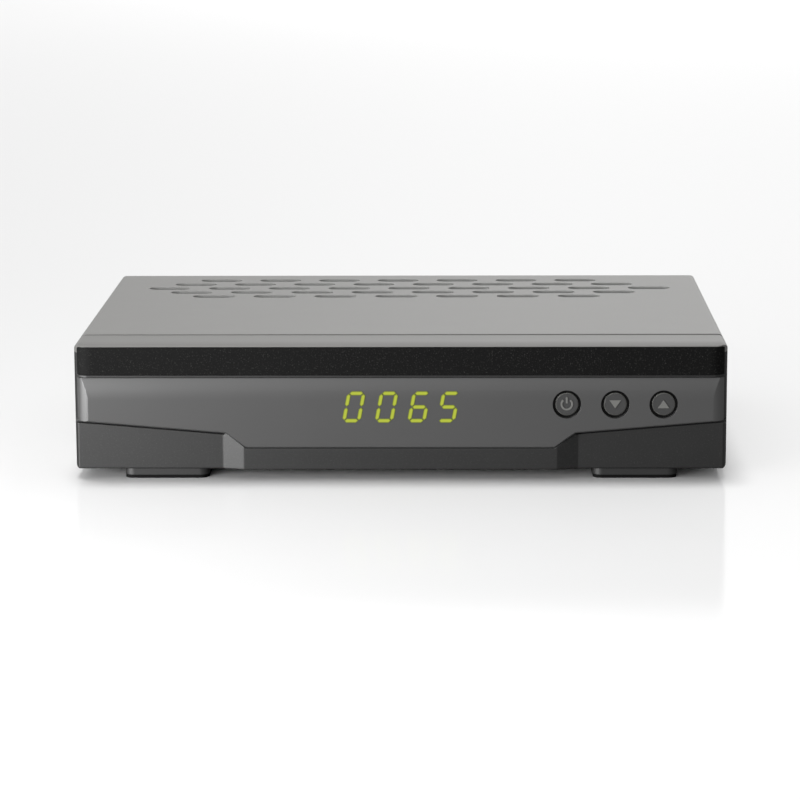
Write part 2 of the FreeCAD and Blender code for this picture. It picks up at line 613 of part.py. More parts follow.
def grid(body, features, *rows):
    """Repeat features along several of a body's own axes, each given as axis, count and pitch."""
    both = body.newObject("PartDesign::MultiTransform", "MultiTransform")
    both.Originals = features
    both.Transformations = [repeat(DOC.addObject("PartDesign::LinearPattern", "LinearPattern"), body, *line)
                            for line in rows]
    body.Tip = both
    DOC.recompute()


def soften(body, kind, size, chooses):
    """Fillet or chamfer of the edges that a test chooses."""
    base = body.Tip
    names = [f"Edge{number}" for number, edge in enumerate(base.Shape.Edges, start=1) if chooses(edge)]
    feature = body.newObject(f"PartDesign::{kind}", kind)
    feature.Base = (base, names)
    bind(feature, **{"Radius" if kind == "Fillet" else "Size": size})
    DOC.recompute()
    return feature


def near(first, second):
    """Whether two lengths are the same."""
    return abs(first - second) < 1e-4


def block(left, back, low, width, length, height):
    """Plain rectangular solid, from its left front lower corner."""
    solid = DOC.addObject("Part::Box", "Box")
    bind(solid, Length=width, Width=length, Height=height)
    place(solid, left, back, low)
    return solid


def upright(across, back, low, radius, height):
    """Upright cylinder."""
    solid = DOC.addObject("Part::Cylinder", "Cylinder")
    bind(solid, Radius=radius, Height=height)
    place(solid, across, back, low)
    return solid


# --------------------------------------------------------------------------------------- the case

def outer_bits(radius, base, before):
    """The two bits of a square outline that fall outside its round corners, at both ends of the object.

    base is the level of the side that the corners round off, and before a level clear of the solid.
    """
    inner = f"({HALF} - {radius})"
    past = f"({HALF} + bezel_wall)"
    level = f"({base} + {radius})"
    right = [(inner, before), (past, before), (past, level), (HALF, level), (inner, base)]
    left = [(f"-{across}", up) for across, up in reversed(right)]
    return [Outline(right, {3: (radius, -1)}), Outline(left, {0: (radius, -1)})]


def cut_front_corners(body, low, height):
    """Round the front corners of a piece in plan, over a height."""
    return cut(body, "XY", low, height, *outer_bits("corner_radius", "0", "-bezel_wall"))


def panel_outline(gap):
    """Front view of the display panel, smaller by a gap along its lower edges."""
    return Outline([
        (f"-{HALF}", PANEL_TOP), (f"-{HALF}", f"{PANEL_END_LOW} + {gap}"),
        ("-panel_shoulder_half", f"{PANEL_SHOULDER_LOW} + {gap}"),
        ("-panel_base_half", f"{PANEL_BASE_LOW} + {gap}"), ("panel_base_half", f"{PANEL_BASE_LOW} + {gap}"),
        ("panel_shoulder_half", f"{PANEL_SHOULDER_LOW} + {gap}"),
        (HALF, f"{PANEL_END_LOW} + {gap}"), (HALF, PANEL_TOP),
    ])


def seam_outlines():
    """Front view of the groove under the lower edge of the panel, on both wings."""
    past = f"({HALF} + bezel_wall)"
    places = [("panel_shoulder_half", PANEL_SHOULDER_LOW), (HALF, PANEL_END_LOW), (past, PANEL_END_LOW)]
    right = [(across, f"{up} - seam_drop") for across, up in places]
    right += [(across, f"{up} + seam_lift") for across, up in reversed(places)]
    left = [(f"-{across}", up) for across, up in reversed(right)]
    return [Outline(right), Outline(left)]


def round_topped(half, low, high, radius):
    """Rectangle about the middle with its two upper corners rounded."""
    inner = f"({half} - {radius})"
    shoulder = f"({high} - {radius})"
    corners = [(f"-{half}", low), (half, low), (half, shoulder), (inner, high), (f"-{inner}", high),
               (f"-{half}", shoulder)]
    return Outline(corners, {2: (radius, 1), 4: (radius, 1)})


def band_outline(gap):
    """Front view of the trim band, smaller by a gap above and below."""
    return round_topped(HALF, f"({BAND_LOW} + {gap})", f"({BAND_TOP} - {gap})", "band_corner_radius")


def make_top_cover():
    """Folded steel lid: a top, two sides and a short rear flange, with staggered rows of air slots."""
    body = new_body()
    bend_low = "(body_height - cover_bend)"
    inner_half = f"({COVER_HALF} - cover_bend)"
    section = [
        (COVER_HALF, "cover_base"), (COVER_HALF, bend_low), (inner_half, "body_height"),
        (f"-{inner_half}", "body_height"), (f"-{COVER_HALF}", bend_low), (f"-{COVER_HALF}", "cover_base"),
        (f"-{COVER_INSIDE}", "cover_base"), (f"-{COVER_INSIDE}", bend_low),
        (f"-{inner_half}", COVER_CEILING), (inner_half, COVER_CEILING),
        (COVER_INSIDE, bend_low), (COVER_INSIDE, "cover_base"),
    ]
    inner_bend = "cover_bend - sheet_thickness"
    arcs = {1: ("cover_bend", 1), 3: ("cover_bend", 1), 7: (inner_bend, -1), 9: (inner_bend, -1)}
    slab(body, "XZ", COVER_FRONT, f"body_depth - {COVER_FRONT}", Outline(section, arcs))
    flange_half = f"({COVER_INSIDE} - cover_bend)"
    flange_low = f"({COVER_CEILING} - rear_flange_height)"
    slab(body, "XZ", REAR_OUTSIDE, "sheet_thickness",
         rectangle(f"-{flange_half}", flange_half, flange_low, f"{COVER_CEILING} + sheet_thickness / 2"))
    for step in range(-SIDE_ROW_COUNT, SIDE_ROW_COUNT + 1):
        left = f"(slot_left_margin - {HALF} + {abs(step)} * slot_row_shift)"
        middle = f"(body_depth - slot_rear_margin - {SIDE_ROW_COUNT + step} * slot_row_pitch)"
        opening = cut(body, "XY", f"{COVER_CEILING} - sheet_thickness", "3 * sheet_thickness",
                      slot(left, f"{left} + slot_length", middle, "slot_width"))
        row(body, [opening], "X", MIDDLE_ROW_COUNT - abs(step), SLOT_PITCH)
    cut(body, "XZ", f"{REAR_OUTSIDE} - sheet_thickness", "3 * sheet_thickness",
        *[Disc(f"{step} * {COVER_SCREW_PITCH}", COVER_SCREW_UP, SCREW_CLEAR) for step in THREE])
    return keep(body, "top_cover")


def rear_openings():
    """Holes of the rear panel, one for each socket and screw that goes through it."""
    aerial = "aerial_radius + aerial_hole_gap"
    holes = [Disc(across, AERIAL_UP, aerial) for across in (AERIAL_IN, AERIAL_OUT)]
    holes.append(Disc(AUDIO_ACROSS, AUDIO_UP, "audio_collar_radius + audio_collar_gap"))
    for kind, across in (("hdmi", HDMI_ACROSS), ("scart", SCART_ACROSS), ("usb", USB_ACROSS),
                         ("jack", JACK_ACROSS)):
        half = f"({kind}_width / 2 + socket_gap)"
        holes.append(rectangle(f"{across} - {half}", f"{across} + {half}", f"{BOARD_TOP} - socket_gap",
                               f"{BOARD_TOP} + {kind}_height + socket_gap"))
    holes += [Disc(f"{SCART_ACROSS} + {sign} * scart_screw_half", SCART_UP, SCREW_CLEAR) for sign in SIDES]
    holes += [Disc(f"{step} * {COVER_SCREW_PITCH}", COVER_SCREW_UP, SCREW_HOLE) for step in THREE]
    return holes


def make_bottom_chassis():
    """Folded steel tray with a tall rear panel and low flanges at its front and sides."""
    body = new_body()
    floor = [
        (f"-{CHASSIS_FRONT_HALF}", "chassis_front_back"), (CHASSIS_FRONT_HALF, "chassis_front_back"),
        (CHASSIS_FRONT_HALF, CHASSIS_WIDE_FROM), (CHASSIS_HALF, CHASSIS_WIDE_FROM),
        (CHASSIS_HALF, REAR_OUTSIDE), (f"-{CHASSIS_HALF}", REAR_OUTSIDE),
        (f"-{CHASSIS_HALF}", CHASSIS_WIDE_FROM), (f"-{CHASSIS_FRONT_HALF}", CHASSIS_WIDE_FROM),
    ]
    slab(body, "XY", "foot_height", "sheet_thickness", Outline(floor))
    slab(body, "XZ", REAR_INSIDE, "sheet_thickness",
         round_topped(CHASSIS_HALF, "foot_height", f"({COVER_CEILING} - sheet_clearance)", "cover_bend"))
    for level in (f"-{CHASSIS_HALF}", f"{CHASSIS_HALF} - sheet_thickness"):
        slab(body, "YZ", level, "sheet_thickness",
             rectangle(CHASSIS_WIDE_FROM, REAR_OUTSIDE, "foot_height", "foot_height + side_flange_height"))
    slab(body, "XZ", "chassis_front_back", "sheet_thickness",
         rectangle(f"-{CHASSIS_FRONT_HALF}", CHASSIS_FRONT_HALF, "foot_height",
                   "foot_height + front_flange_height"))
    under = amount("foot_height")
    side = amount(CHASSIS_HALF)
    ends = (amount("chassis_front_back"), amount(REAR_OUTSIDE))

    def is_bend(edge):
        box = edge.BoundBox
        low = near(box.ZMin, under) and near(box.ZMax, under)
        on_side = near(abs(box.XMin), side) and near(box.XLength, 0)
        on_end = near(box.YLength, 0) and any(near(box.YMin, end) for end in ends)
        return low and (on_side or on_end)

    soften(body, "Fillet", "chassis_bend", is_bend)
    through = "3 * sheet_thickness"
    cut(body, "XZ", f"{REAR_INSIDE} - sheet_thickness", through, *rear_openings())
    cut(body, "XZ", "chassis_front_back - sheet_thickness", through,
        *[Disc(f"{step} * {BEZEL_SCREW_PITCH}", BEZEL_SCREW_UP, SCREW_CLEAR) for step in THREE])
    peg_hole = "foot_peg_radius + foot_peg_clearance"
    cut(body, "XY", "foot_height - sheet_thickness", through,
        *[Disc(f"{sign} * {FOOT_SPREAD} / 2", back, peg_hole)
          for sign in SIDES for back in ("front_foot_back", REAR_FOOT_BACK)])
    first = f"({MAIN_BOARD_FRONT} - floor_slot_length - 3 * floor_slot_width)"
    low = f"(-{(FLOOR_SLOT_COUNT - 1) / 2} * floor_slot_pitch)"
    vents = cut(body, "XY", "foot_height - sheet_thickness", through,
                lengthwise(slot(first, f"{first} + floor_slot_length", low, "floor_slot_width")))
    row(body, [vents], "X", FLOOR_SLOT_COUNT, "floor_slot_pitch")
    return keep(body, "bottom_chassis")


def lengthwise(outline):
    """The same outline with its two axes changed over."""
    corners = [(up, across) for across, up in outline.corners]
    return Outline(corners, {edge: (radius, -side) for edge, (radius, side) in outline.arcs.items()})


def make_front_bezel():
    """Moulded front: ledge, end walls, seat of band and panel, lower wings, middle strip, lip and bosses."""
    body = new_body()
    ledge_flat = "(ledge_nose + ledge_curve_length)"
    nose_top = f"({BAND_TOP} + ledge_nose_height)"
    fall = "(ledge_fall - ledge_nose_height)"
    side_view = [
        ("wing_setback", "foot_height"), ("bezel_depth", "foot_height"), ("bezel_depth", LEDGE_TOP),
        (ledge_flat, LEDGE_TOP), ("ledge_nose", nose_top), ("ledge_nose", BAND_LOW),
        ("rib_setback", BAND_LOW), ("rib_setback", RIB_LOW), ("wing_setback", RIB_LOW),
    ]
    curve_radius = f"(ledge_curve_length ^ 2 + {fall} ^ 2) / (2 * {fall})"
    slab(body, "YZ", f"-{HALF}", "body_width", Outline(side_view, {3: (curve_radius, 1)}))
    half = amount(HALF)
    nose = amount(BAND_TOP)

    def is_end_of_ledge(edge):
        box = edge.BoundBox
        return box.ZMin > nose and near(abs(box.XMin), half) and near(box.XLength, 0) and box.YLength > 1

    soften(body, "Fillet", "ledge_end_radius", is_end_of_ledge)
    cut(body, "XZ", "-bezel_wall", "bezel_wall + wing_setback", band_outline("0"))
    strip_end = "(strip_half + strip_slope)"
    strip = Outline([
        (f"-{strip_end}", "wing_setback"), ("-strip_half", "strip_setback"), ("strip_half", "strip_setback"),
        (strip_end, "wing_setback"), (strip_end, WALL_INSIDE), (f"-{strip_end}", WALL_INSIDE),
    ])
    slab(body, "XY", "foot_height", f"{PANEL_SHOULDER_LOW} - foot_height", strip)
    cut(body, "XZ", "-bezel_wall", "bezel_wall + wing_setback", panel_outline("0"))
    cut(body, "XZ", "wing_setback - overrun", "seam_depth + overrun", *seam_outlines())
    cut_front_corners(body, "0", "body_height + bezel_wall")
    cut(body, "XZ", "-bezel_wall", "bezel_depth + 2 * bezel_wall",
        *outer_bits("lower_corner_radius", "foot_height", "(foot_height - bezel_wall)"))
    cut(body, "XZ", WALL_INSIDE, "bezel_depth",
        rectangle(f"-{CAVITY_HALF}", CAVITY_HALF, "foot_height + bezel_wall", CAVITY_TOP))
    floor_end = "(chassis_front_back - floor_gap)"
    cut(body, "XY", "foot_height - bezel_wall", "3 * bezel_wall",
        rectangle(f"-{CAVITY_HALF}", CAVITY_HALF, floor_end, "bezel_depth + bezel_wall"))
    lip_low = "(foot_height + 2 * bezel_wall)"
    lip_bend, lip_shoulder = f"({LIP_HALF} - cover_bend)", f"{LIP_TOP} - cover_bend"
    lip = Outline([
        (f"-{LIP_HALF}", lip_low), (f"-{CAVITY_HALF}", lip_low), (f"-{CAVITY_HALF}", CAVITY_TOP),
        (CAVITY_HALF, CAVITY_TOP), (CAVITY_HALF, lip_low), (LIP_HALF, lip_low), (LIP_HALF, lip_shoulder),
        (lip_bend, LIP_TOP), (f"-{lip_bend}", LIP_TOP), (f"-{LIP_HALF}", lip_shoulder),
    ], {6: ("cover_bend", 1), 8: ("cover_bend", 1)})
    slab(body, "XZ", "bezel_depth - bezel_wall", "bezel_wall + lip_length", lip)
    board_bosses = [
        Disc(f"{FRONT_SCREW_LEFT} + {step} * {FRONT_SCREW_PITCH}", "front_screw_up", "boss_radius")
        for step in range(FRONT_SCREW_COUNT)]
    slab(body, "XZ", f"{WALL_INSIDE} - overrun", f"front_board_back - {WALL_INSIDE} + overrun",
         *board_bosses)
    chassis_bosses = [Disc(f"{step} * {BEZEL_SCREW_PITCH}", BEZEL_SCREW_UP, "boss_radius")
                      for step in THREE]
    slab(body, "XZ", f"{WALL_INSIDE} - overrun", f"chassis_front_back - {WALL_INSIDE} + overrun",
         *chassis_bosses)
    cut(body, "XZ", "front_board_back - screw_length", "screw_length",
        *[Disc(disc.across, disc.up, SCREW_HOLE) for disc in board_bosses])
    cut(body, "XZ", "chassis_front_back - screw_length", "screw_length",
        *[Disc(disc.across, disc.up, SCREW_HOLE) for disc in chassis_bosses])
    window_half = "(module_width / 2 + module_window_gap)"
    window_rise = "(module_height / 2 + module_window_gap)"
    windows = [rectangle(f"display_across - {window_half}", f"display_across + {window_half}",
                         f"{DISPLAY_UP} - {window_rise}", f"{DISPLAY_UP} + {window_rise}"),
               Disc("receiver_eye_across", EYE_UP, "receiver_eye_hole")]
    windows += [Disc(f"{FIRST_BUTTON} + {step} * button_pitch", BUTTON_UP, "button_guide_radius")
                for step in range(len(BUTTONS))]
    cut(body, "XZ", "wing_setback - overrun", "bezel_wall + 2 * overrun", *windows)
    return keep(body, "front_bezel")


def make_trim_band():
    """Black band along the top of the front, with its ends rounded like the bezel's corners."""
    body = new_body()
    slab(body, "XZ", "0", "wing_setback", band_outline("trim_gap"))
    cut_front_corners(body, "0", "body_height")
    return keep(body, "trim_band")


def make_display_panel():
    """Smoked plastic panel with a leaning top, a stepped lower edge and a hole for each button."""
    body = new_body()
    slab(body, "XZ", "panel_setback", "wing_setback - panel_setback", panel_outline("trim_gap"))
    cut_front_corners(body, "0", "body_height")
    radius = "(panel_crown_height ^ 2 + panel_crown_fall ^ 2) / (2 * panel_crown_fall)"
    crown = Outline([("panel_setback", f"{PANEL_TOP} - panel_crown_height"),
                     ("panel_setback + panel_crown_fall", PANEL_TOP),
                     ("panel_setback + panel_crown_fall", f"{PANEL_TOP} + trim_gap"),
                     ("-panel_setback", f"{PANEL_TOP} + trim_gap"),
                     ("-panel_setback", f"{PANEL_TOP} - panel_crown_height")],
                    {0: (radius, -1)})
    cut(body, "YZ", f"-{HALF} - bezel_wall", "body_width + 2 * bezel_wall", crown)
    cut(body, "XZ", "-bezel_wall", "wing_setback + 2 * bezel_wall",
        *[Disc(f"{FIRST_BUTTON} + {step} * button_pitch", BUTTON_UP, "well_radius")
          for step in range(len(BUTTONS))])
    face = amount("panel_setback")
    lowest = amount(f"{PANEL_END_LOW} + trim_gap")
    shoulder = amount("panel_shoulder_half")

    def is_lower_front(edge):
        box = edge.BoundBox
        flat = near(box.YMin, face) and near(box.YMax, face)
        return flat and box.ZMax < lowest + face and max(box.XLength, abs(box.XMin)) > shoulder / 2

    soften(body, "Chamfer", "panel_edge", is_lower_front)
    return keep(body, "display_panel")


def make_foot(name, sign, back):
    """Plastic foot with a peg through the floor of the chassis."""
    body = new_body(f"{sign} * {FOOT_SPREAD} / 2", back)
    half_width = "foot_width / 2"
    half_length = "foot_length / 2"
    slab(body, "XY", "foot_pad_thickness", "foot_height - foot_pad_thickness",
         rounded(f"-{half_width}", half_width, f"-{half_length}", half_length, "foot_corner"))
    slab(body, "XY", "foot_height", "foot_peg_height", Disc("0", "0", "foot_peg_radius"))
    keep(body, name)


def make_foot_pad(name, sign, back):
    """Rubber pad under a foot."""
    body = new_body(f"{sign} * {FOOT_SPREAD} / 2", back)
    half_width = "(foot_width / 2 - foot_pad_margin)"
    half_length = "(foot_length / 2 - foot_pad_margin)"
    slab(body, "XY", "0", "foot_pad_thickness",
         rounded(f"-{half_width}", half_width, f"-{half_length}", half_length,
                 "foot_corner - foot_pad_margin"))
    keep(body, name)


def make_feet():
    """Four feet and their pads."""
    for end, back in (("front", "front_foot_back"), ("rear", REAR_FOOT_BACK)):
        for side, sign in (("left", -1), ("right", 1)):
            make_foot(f"foot_{end}_{side}", sign, back)
            make_foot_pad(f"foot_pad_{end}_{side}", sign, back)


# ------------------------------------------------------------------------------------ front controls

def arrow(direction):
    """Triangle that points down for -1 and up for 1."""
    base = f"{-direction} * symbol_height / 2"
    tip = f"{direction} * symbol_height / 2"
    corners = [("-symbol_width / 2", base), ("symbol_width / 2", base), ("0", tip)]
    if direction < 0:
        corners.reverse()
    return [Outline(corners)]


def power_symbol():
    """Broken ring with an upright bar in its gap."""
    inner = "symbol_ring_radius - symbol_stroke"
    outer_points = [polar("symbol_ring_radius", degrees) for degrees in RING_ANGLES]
    inner_points = [polar(inner, degrees) for degrees in reversed(RING_ANGLES)]
    arcs = {edge: ("symbol_ring_radius", 1) for edge in (0, 1, 2)}
    arcs.update({edge: (inner, -1) for edge in (4, 5, 6)})
    bar = rectangle("-symbol_stroke / 2", "symbol_stroke / 2", "symbol_stroke / 2",
                    "symbol_ring_radius + symbol_stroke / 2")
    return [Outline(outer_points + inner_points, arcs), bar]


def make_buttons():
    """Three push buttons, each with a cap, a keeper flange, a stem and a raised symbol."""
    section = [
        ("0", BUTTON_FACE), ("button_radius - button_bevel", BUTTON_FACE),
        ("button_radius", f"{BUTTON_FACE} + button_bevel"), ("button_radius", FLANGE_FRONT),
        ("button_flange_radius", FLANGE_FRONT),
        ("button_flange_radius", f"{FLANGE_FRONT} + button_flange_thickness"),
        ("button_stem_radius", f"{FLANGE_FRONT} + button_flange_thickness"),
        ("button_stem_radius", STEM_END), ("0", STEM_END),
    ]
    symbols = (power_symbol(), arrow(-1), arrow(1))
    for step, (name, symbol) in enumerate(zip(BUTTONS, symbols)):
        body = new_body(f"{FIRST_BUTTON} + {step} * button_pitch", "0", BUTTON_UP)
        turn(body, "XY", Outline(section))
        slab(body, "XZ", f"{BUTTON_FACE} - symbol_relief", "2 * symbol_relief", *symbol)
        keep(body, name)


def make_switches():
    """Push switches on the front board, each with a plunger that its button pushes."""
    half = "switch_size / 2"
    for step, name in enumerate(SWITCHES):
        across = f"{FIRST_BUTTON} + {step} * button_pitch"
        body = new_body(across, "0", BUTTON_UP)
        slab(body, "XZ", SWITCH_FRONT, "switch_height", rectangle(f"-{half}", half, f"-{half}", half))
        cut(body, "XZ", SWITCH_FRONT, "plunger_depth + plunger_room",
            Disc("0", "0", "plunger_radius + plunger_clearance"))
        keep(body, f"{name}_body")
        plunger = new_body(across, "0", BUTTON_UP)
        slab(plunger, "XZ", STEM_END, "plunger_reach + plunger_depth", Disc("0", "0", "plunger_radius"))
        keep(plunger, f"{name}_plunger")


def make_front_board():
    """Circuit board behind the panel, on the bosses of the bezel."""
    body = new_body()
    slab(body, "XZ", "front_board_back", "board_thickness",
         rectangle("front_board_left", FRONT_BOARD_RIGHT, "front_board_low", FRONT_BOARD_TOP))
    cut(body, "XZ", "front_board_back - board_thickness", "3 * board_thickness",
        *[Disc(f"{FRONT_SCREW_LEFT} + {step} * {FRONT_SCREW_PITCH}", "front_screw_up", SCREW_CLEAR)
          for step in range(FRONT_SCREW_COUNT)])
    keep(body, "front_board")


def make_display_module():
    """Housing of the four-figure display."""
    solid = block("display_across - module_width / 2", MODULE_FACE, f"{DISPLAY_UP} - module_height / 2",
                  "module_width", f"front_board_back - {MODULE_FACE}", "module_height")
    keep(solid, "display_module")


def leaning(across, up):
    """Point of a figure, moved sideways by the lean of the figures."""
    return (f"({across}) + figure_slant * ({up})", up)


def segment_bars():
    """Seven bars with pointed ends, about the middle of a figure."""
    half_width = "figure_width / 2"
    half_height = "figure_height / 2"
    half_bar = "segment_thickness / 2"
    bars = []
    for up in (f"-{half_height}", "0", half_height):
        tip = f"({half_width} - segment_gap)"
        heel = f"({tip} - {half_bar})"
        corners = [(f"-{tip}", up), (f"-{heel}", f"{up} - {half_bar}"), (heel, f"{up} - {half_bar}"),
                   (tip, up), (heel, f"{up} + {half_bar}"), (f"-{heel}", f"{up} + {half_bar}")]
        bars.append(Outline([leaning(*corner) for corner in corners]))
    for across in (f"-{half_width}", half_width):
        for base in (f"(-{half_height})", "0"):
            low = f"({base} + segment_gap)"
            high = f"({base} + {half_height} - segment_gap)"
            corners = [(across, low), (f"{across} + {half_bar}", f"{low} + {half_bar}"),
                       (f"{across} + {half_bar}", f"{high} - {half_bar}"), (across, high),
                       (f"{across} - {half_bar}", f"{high} - {half_bar}"),
                       (f"{across} - {half_bar}", f"{low} + {half_bar}")]
            bars.append(Outline([leaning(*corner) for corner in corners]))
    return bars


def make_display_segments():
    """Light windows of the four figures on the face of the module."""
    body = new_body(f"display_across - {(FIGURE_COUNT - 1) / 2} * figure_pitch", "0", DISPLAY_UP)
    figure = slab(body, "XZ", f"{MODULE_FACE} - segment_relief", "segment_relief", *segment_bars())
    row(body, [figure], "X", FIGURE_COUNT, "figure_pitch")
    keep(body, "display_segments")


def make_receiver_eye():
    """Remote control eye: a block with a dome towards the front and three legs to the board."""
    body = new_body("receiver_eye_across", "0", EYE_UP)
    face = f"({WALL_INSIDE} + receiver_eye_gap)"
    half = "receiver_eye_width / 2"
    rise = "receiver_eye_height / 2"
    slab(body, "XZ", face, "receiver_eye_thickness", rectangle(f"-{half}", half, f"-{rise}", rise))
    rear = f"({face} + receiver_eye_thickness)"
    leg = "receiver_eye_leg / 2"
    legs = [rectangle(f"{step} * receiver_eye_leg_pitch - {leg}", f"{step} * receiver_eye_leg_pitch + {leg}",
                      f"-{leg}", leg) for step in THREE]
    slab(body, "XZ", rear, f"front_board_back - {rear}", *legs)
    turn(body, "XY", Outline([("0", f"{face} - receiver_eye_dome"), ("receiver_eye_dome", face),
                              ("0", face)], {0: ("receiver_eye_dome", 1)}))
    keep(body, "remote_control_eye")


def make_driver_chip():
    """Display driver on the rear of the front board."""
    chip = block("driver_chip_across - driver_chip_width / 2", FRONT_BOARD_REAR,
                 f"{DISPLAY_UP} - driver_chip_height / 2", "driver_chip_width", "driver_chip_thickness",
                 "driver_chip_height")
    keep(chip, "display_driver_chip")


# ----------------------------------------------------------------------------------------- the inside

def make_main_board():
    """Main circuit board with its four screw holes."""
    body = new_body()
    slab(body, "XY", BOARD_UNDER, "board_thickness",
         rectangle(f"-{MAIN_BOARD_HALF}", MAIN_BOARD_HALF, MAIN_BOARD_FRONT, MAIN_BOARD_REAR))
    cut(body, "XY", f"{BOARD_UNDER} - board_thickness", "3 * board_thickness",
        *[Disc(f"{sign} * {MAIN_SCREW_HALF}", f"{MAIN_SCREW_FRONT} + {step} * main_screw_pitch", SCREW_CLEAR)
          for sign in SIDES for step in (0, 1)])
    keep(body, "main_board")


def make_standoffs():
    """Four pressed standoffs under the main board."""
    body = new_body(f"-{MAIN_SCREW_HALF}", MAIN_SCREW_FRONT, FLOOR_TOP)
    ring = Outline([(SCREW_HOLE, "0"), ("standoff_radius", "0"), ("standoff_radius", "standoff_height"),
                    (SCREW_HOLE, "standoff_height")])
    post = turn(body, "XZ", ring)
    grid(body, [post], *MAIN_SCREW_GRID)
    keep(body, "board_standoffs")


def make_screws(name, plane, across, back, up, rows, length="screw_length"):
    """Row or grid of screws whose heads look up (XZ plane) or to the rear (XY plane)."""
    body = new_body(across, back, up)
    section = Outline([("0", f"-({length})"), ("screw_radius", f"-({length})"), ("screw_radius", "0"),
                       ("screw_head_radius", "0"), ("screw_head_radius", "screw_head_edge"),
                       ("screw_crown_radius", "screw_head_height"), ("0", "screw_head_height")])
    screw = turn(body, plane, section)
    long_arm = "screw_cross_half"
    short_arm = "screw_cross_width / 2"
    cross = Outline([(f"-{long_arm}", f"-{short_arm}"), (f"-({short_arm})", f"-{short_arm}"),
                     (f"-({short_arm})", f"-{long_arm}"), (short_arm, f"-{long_arm}"),
                     (short_arm, f"-{short_arm}"), (long_arm, f"-{short_arm}"),
                     (long_arm, short_arm), (short_arm, short_arm), (short_arm, long_arm),
                     (f"-({short_arm})", long_arm), (f"-({short_arm})", short_arm),
                     (f"-{long_arm}", short_arm)])
    recess_plane = "XY" if plane == "XZ" else "XZ"
    recess = cut(body, recess_plane, "screw_head_height - screw_cross_depth", "screw_head_height", cross)
    grid(body, [screw, recess], *rows)
    keep(body, name)


def make_fasteners():
    """Every screw of the object."""
    make_screws("main_board_screws", "XZ", f"-{MAIN_SCREW_HALF}", MAIN_SCREW_FRONT, BOARD_TOP,
                MAIN_SCREW_GRID)
    make_screws("front_board_screws", "XY", FRONT_SCREW_LEFT, FRONT_BOARD_REAR, "front_screw_up",
                [("X", FRONT_SCREW_COUNT, FRONT_SCREW_PITCH)])
    make_screws("bezel_screws", "XY", f"-{BEZEL_SCREW_PITCH}", "(chassis_front_back + sheet_thickness)",
                BEZEL_SCREW_UP, [("X", len(THREE), BEZEL_SCREW_PITCH)], "screw_length - sheet_thickness")
    make_screws("cover_screws", "XY", f"-{COVER_SCREW_PITCH}", "body_depth", COVER_SCREW_UP,
                [("X", len(THREE), COVER_SCREW_PITCH)])
    make_screws("scart_screws", "XY", f"{SCART_ACROSS} - scart_screw_half", REAR_OUTSIDE, SCART_UP,
                [("X", len(SIDES), "2 * scart_screw_half")], "scart_ear_thickness")


def make_tuner():
    """Screened can of the tuner, with the two threaded aerial sockets, their washers and nuts."""
    rear = f"({REAR_INSIDE} - aerial_shoulder_thickness)"
    middle = f"({AERIAL_IN} + {AERIAL_OUT}) / 2"
    can = block(f"{middle} - tuner_width / 2", f"{rear} - tuner_length", BOARD_TOP, "tuner_width",
                "tuner_length", "tuner_height")
    keep(can, "tuner_can")
    end = f"({REAR_OUTSIDE} + aerial_reach)"
    bore_end = f"({end} - aerial_bore_depth)"
    neck_end = f"({REAR_OUTSIDE} + washer_thickness + nut_thickness)"
    socket = Outline([("0", rear), ("aerial_shoulder_radius", rear), ("aerial_shoulder_radius", REAR_INSIDE),
                      ("aerial_neck_radius", REAR_INSIDE), ("aerial_neck_radius", neck_end),
                      ("aerial_radius", neck_end), ("aerial_radius", end), ("aerial_bore", end),
                      ("aerial_bore", bore_end), ("0", bore_end)])
    for name, across in (("aerial_input_socket", AERIAL_IN), ("aerial_output_socket", AERIAL_OUT)):
        body = new_body(across, "0", AERIAL_UP)
        turn(body, "XY", socket)
        keep(body, name)
    between = f"{AERIAL_OUT} - {AERIAL_IN}"
    filling = "(aerial_bore - thread_gap / 2)"
    face = f"({end} - insulator_recess)"
    insulator = Outline([("aerial_pin_hole", bore_end), (filling, bore_end), (filling, face),
                         ("aerial_pin_hole", face)])
    body = new_body(AERIAL_IN, "0", AERIAL_UP)
    row(body, [turn(body, "XY", insulator)], "X", 2, between)
    keep(body, "aerial_socket_insulators")
    hole = "(aerial_radius + thread_gap)"
    body = new_body(AERIAL_IN, "0", AERIAL_UP)
    washer = slab(body, "XZ", REAR_OUTSIDE, "washer_thickness", Disc("0", "0", "washer_radius"),
                  Disc("0", "0", hole))
    row(body, [washer], "X", 2, between)
    keep(body, "aerial_socket_washers")
    body = new_body(AERIAL_IN, "0", AERIAL_UP)
    corner = "nut_flats / 2 / cos(30 deg)"
    hexagon = Outline([polar(corner, degrees) for degrees in range(0, 360, 60)])
    nut = slab(body, "XZ", f"{REAR_OUTSIDE} + washer_thickness", "nut_thickness", hexagon,
               Disc("0", "0", hole))
    row(body, [nut], "X", 2, between)
    keep(body, "aerial_socket_nuts")


def make_hdmi_socket():
    """Video socket: a steel shell with cut lower corners and a plastic tongue."""
    body = new_body(HDMI_ACROSS, "0", BOARD_TOP)
    front = f"({SOCKET_MOUTH} - hdmi_length)"

    def shell(inset):
        half = f"(hdmi_width / 2 - {inset})"
        low, high = inset, f"(hdmi_height - {inset})"
        return Outline([(f"-({half} - hdmi_chamfer)", low), (f"{half} - hdmi_chamfer", low),
                        (half, f"{low} + hdmi_chamfer"), (half, high), (f"-{half}", high),
                        (f"-{half}", f"{low} + hdmi_chamfer")])

    slab(body, "XZ", front, "hdmi_length", shell("0"))
    cut(body, "XZ", f"{front} + hdmi_wall", "hdmi_length", shell("hdmi_wall"))
    keep(body, "hdmi_shell")
    tongue = block(f"{HDMI_ACROSS} - hdmi_tongue_half", f"{front} + hdmi_wall",
                   f"{BOARD_TOP} + hdmi_height / 2 - hdmi_tongue_thickness / 2", "2 * hdmi_tongue_half",
                   "hdmi_length - 4 * hdmi_wall", "hdmi_tongue_thickness")
    keep(tongue, "hdmi_tongue")


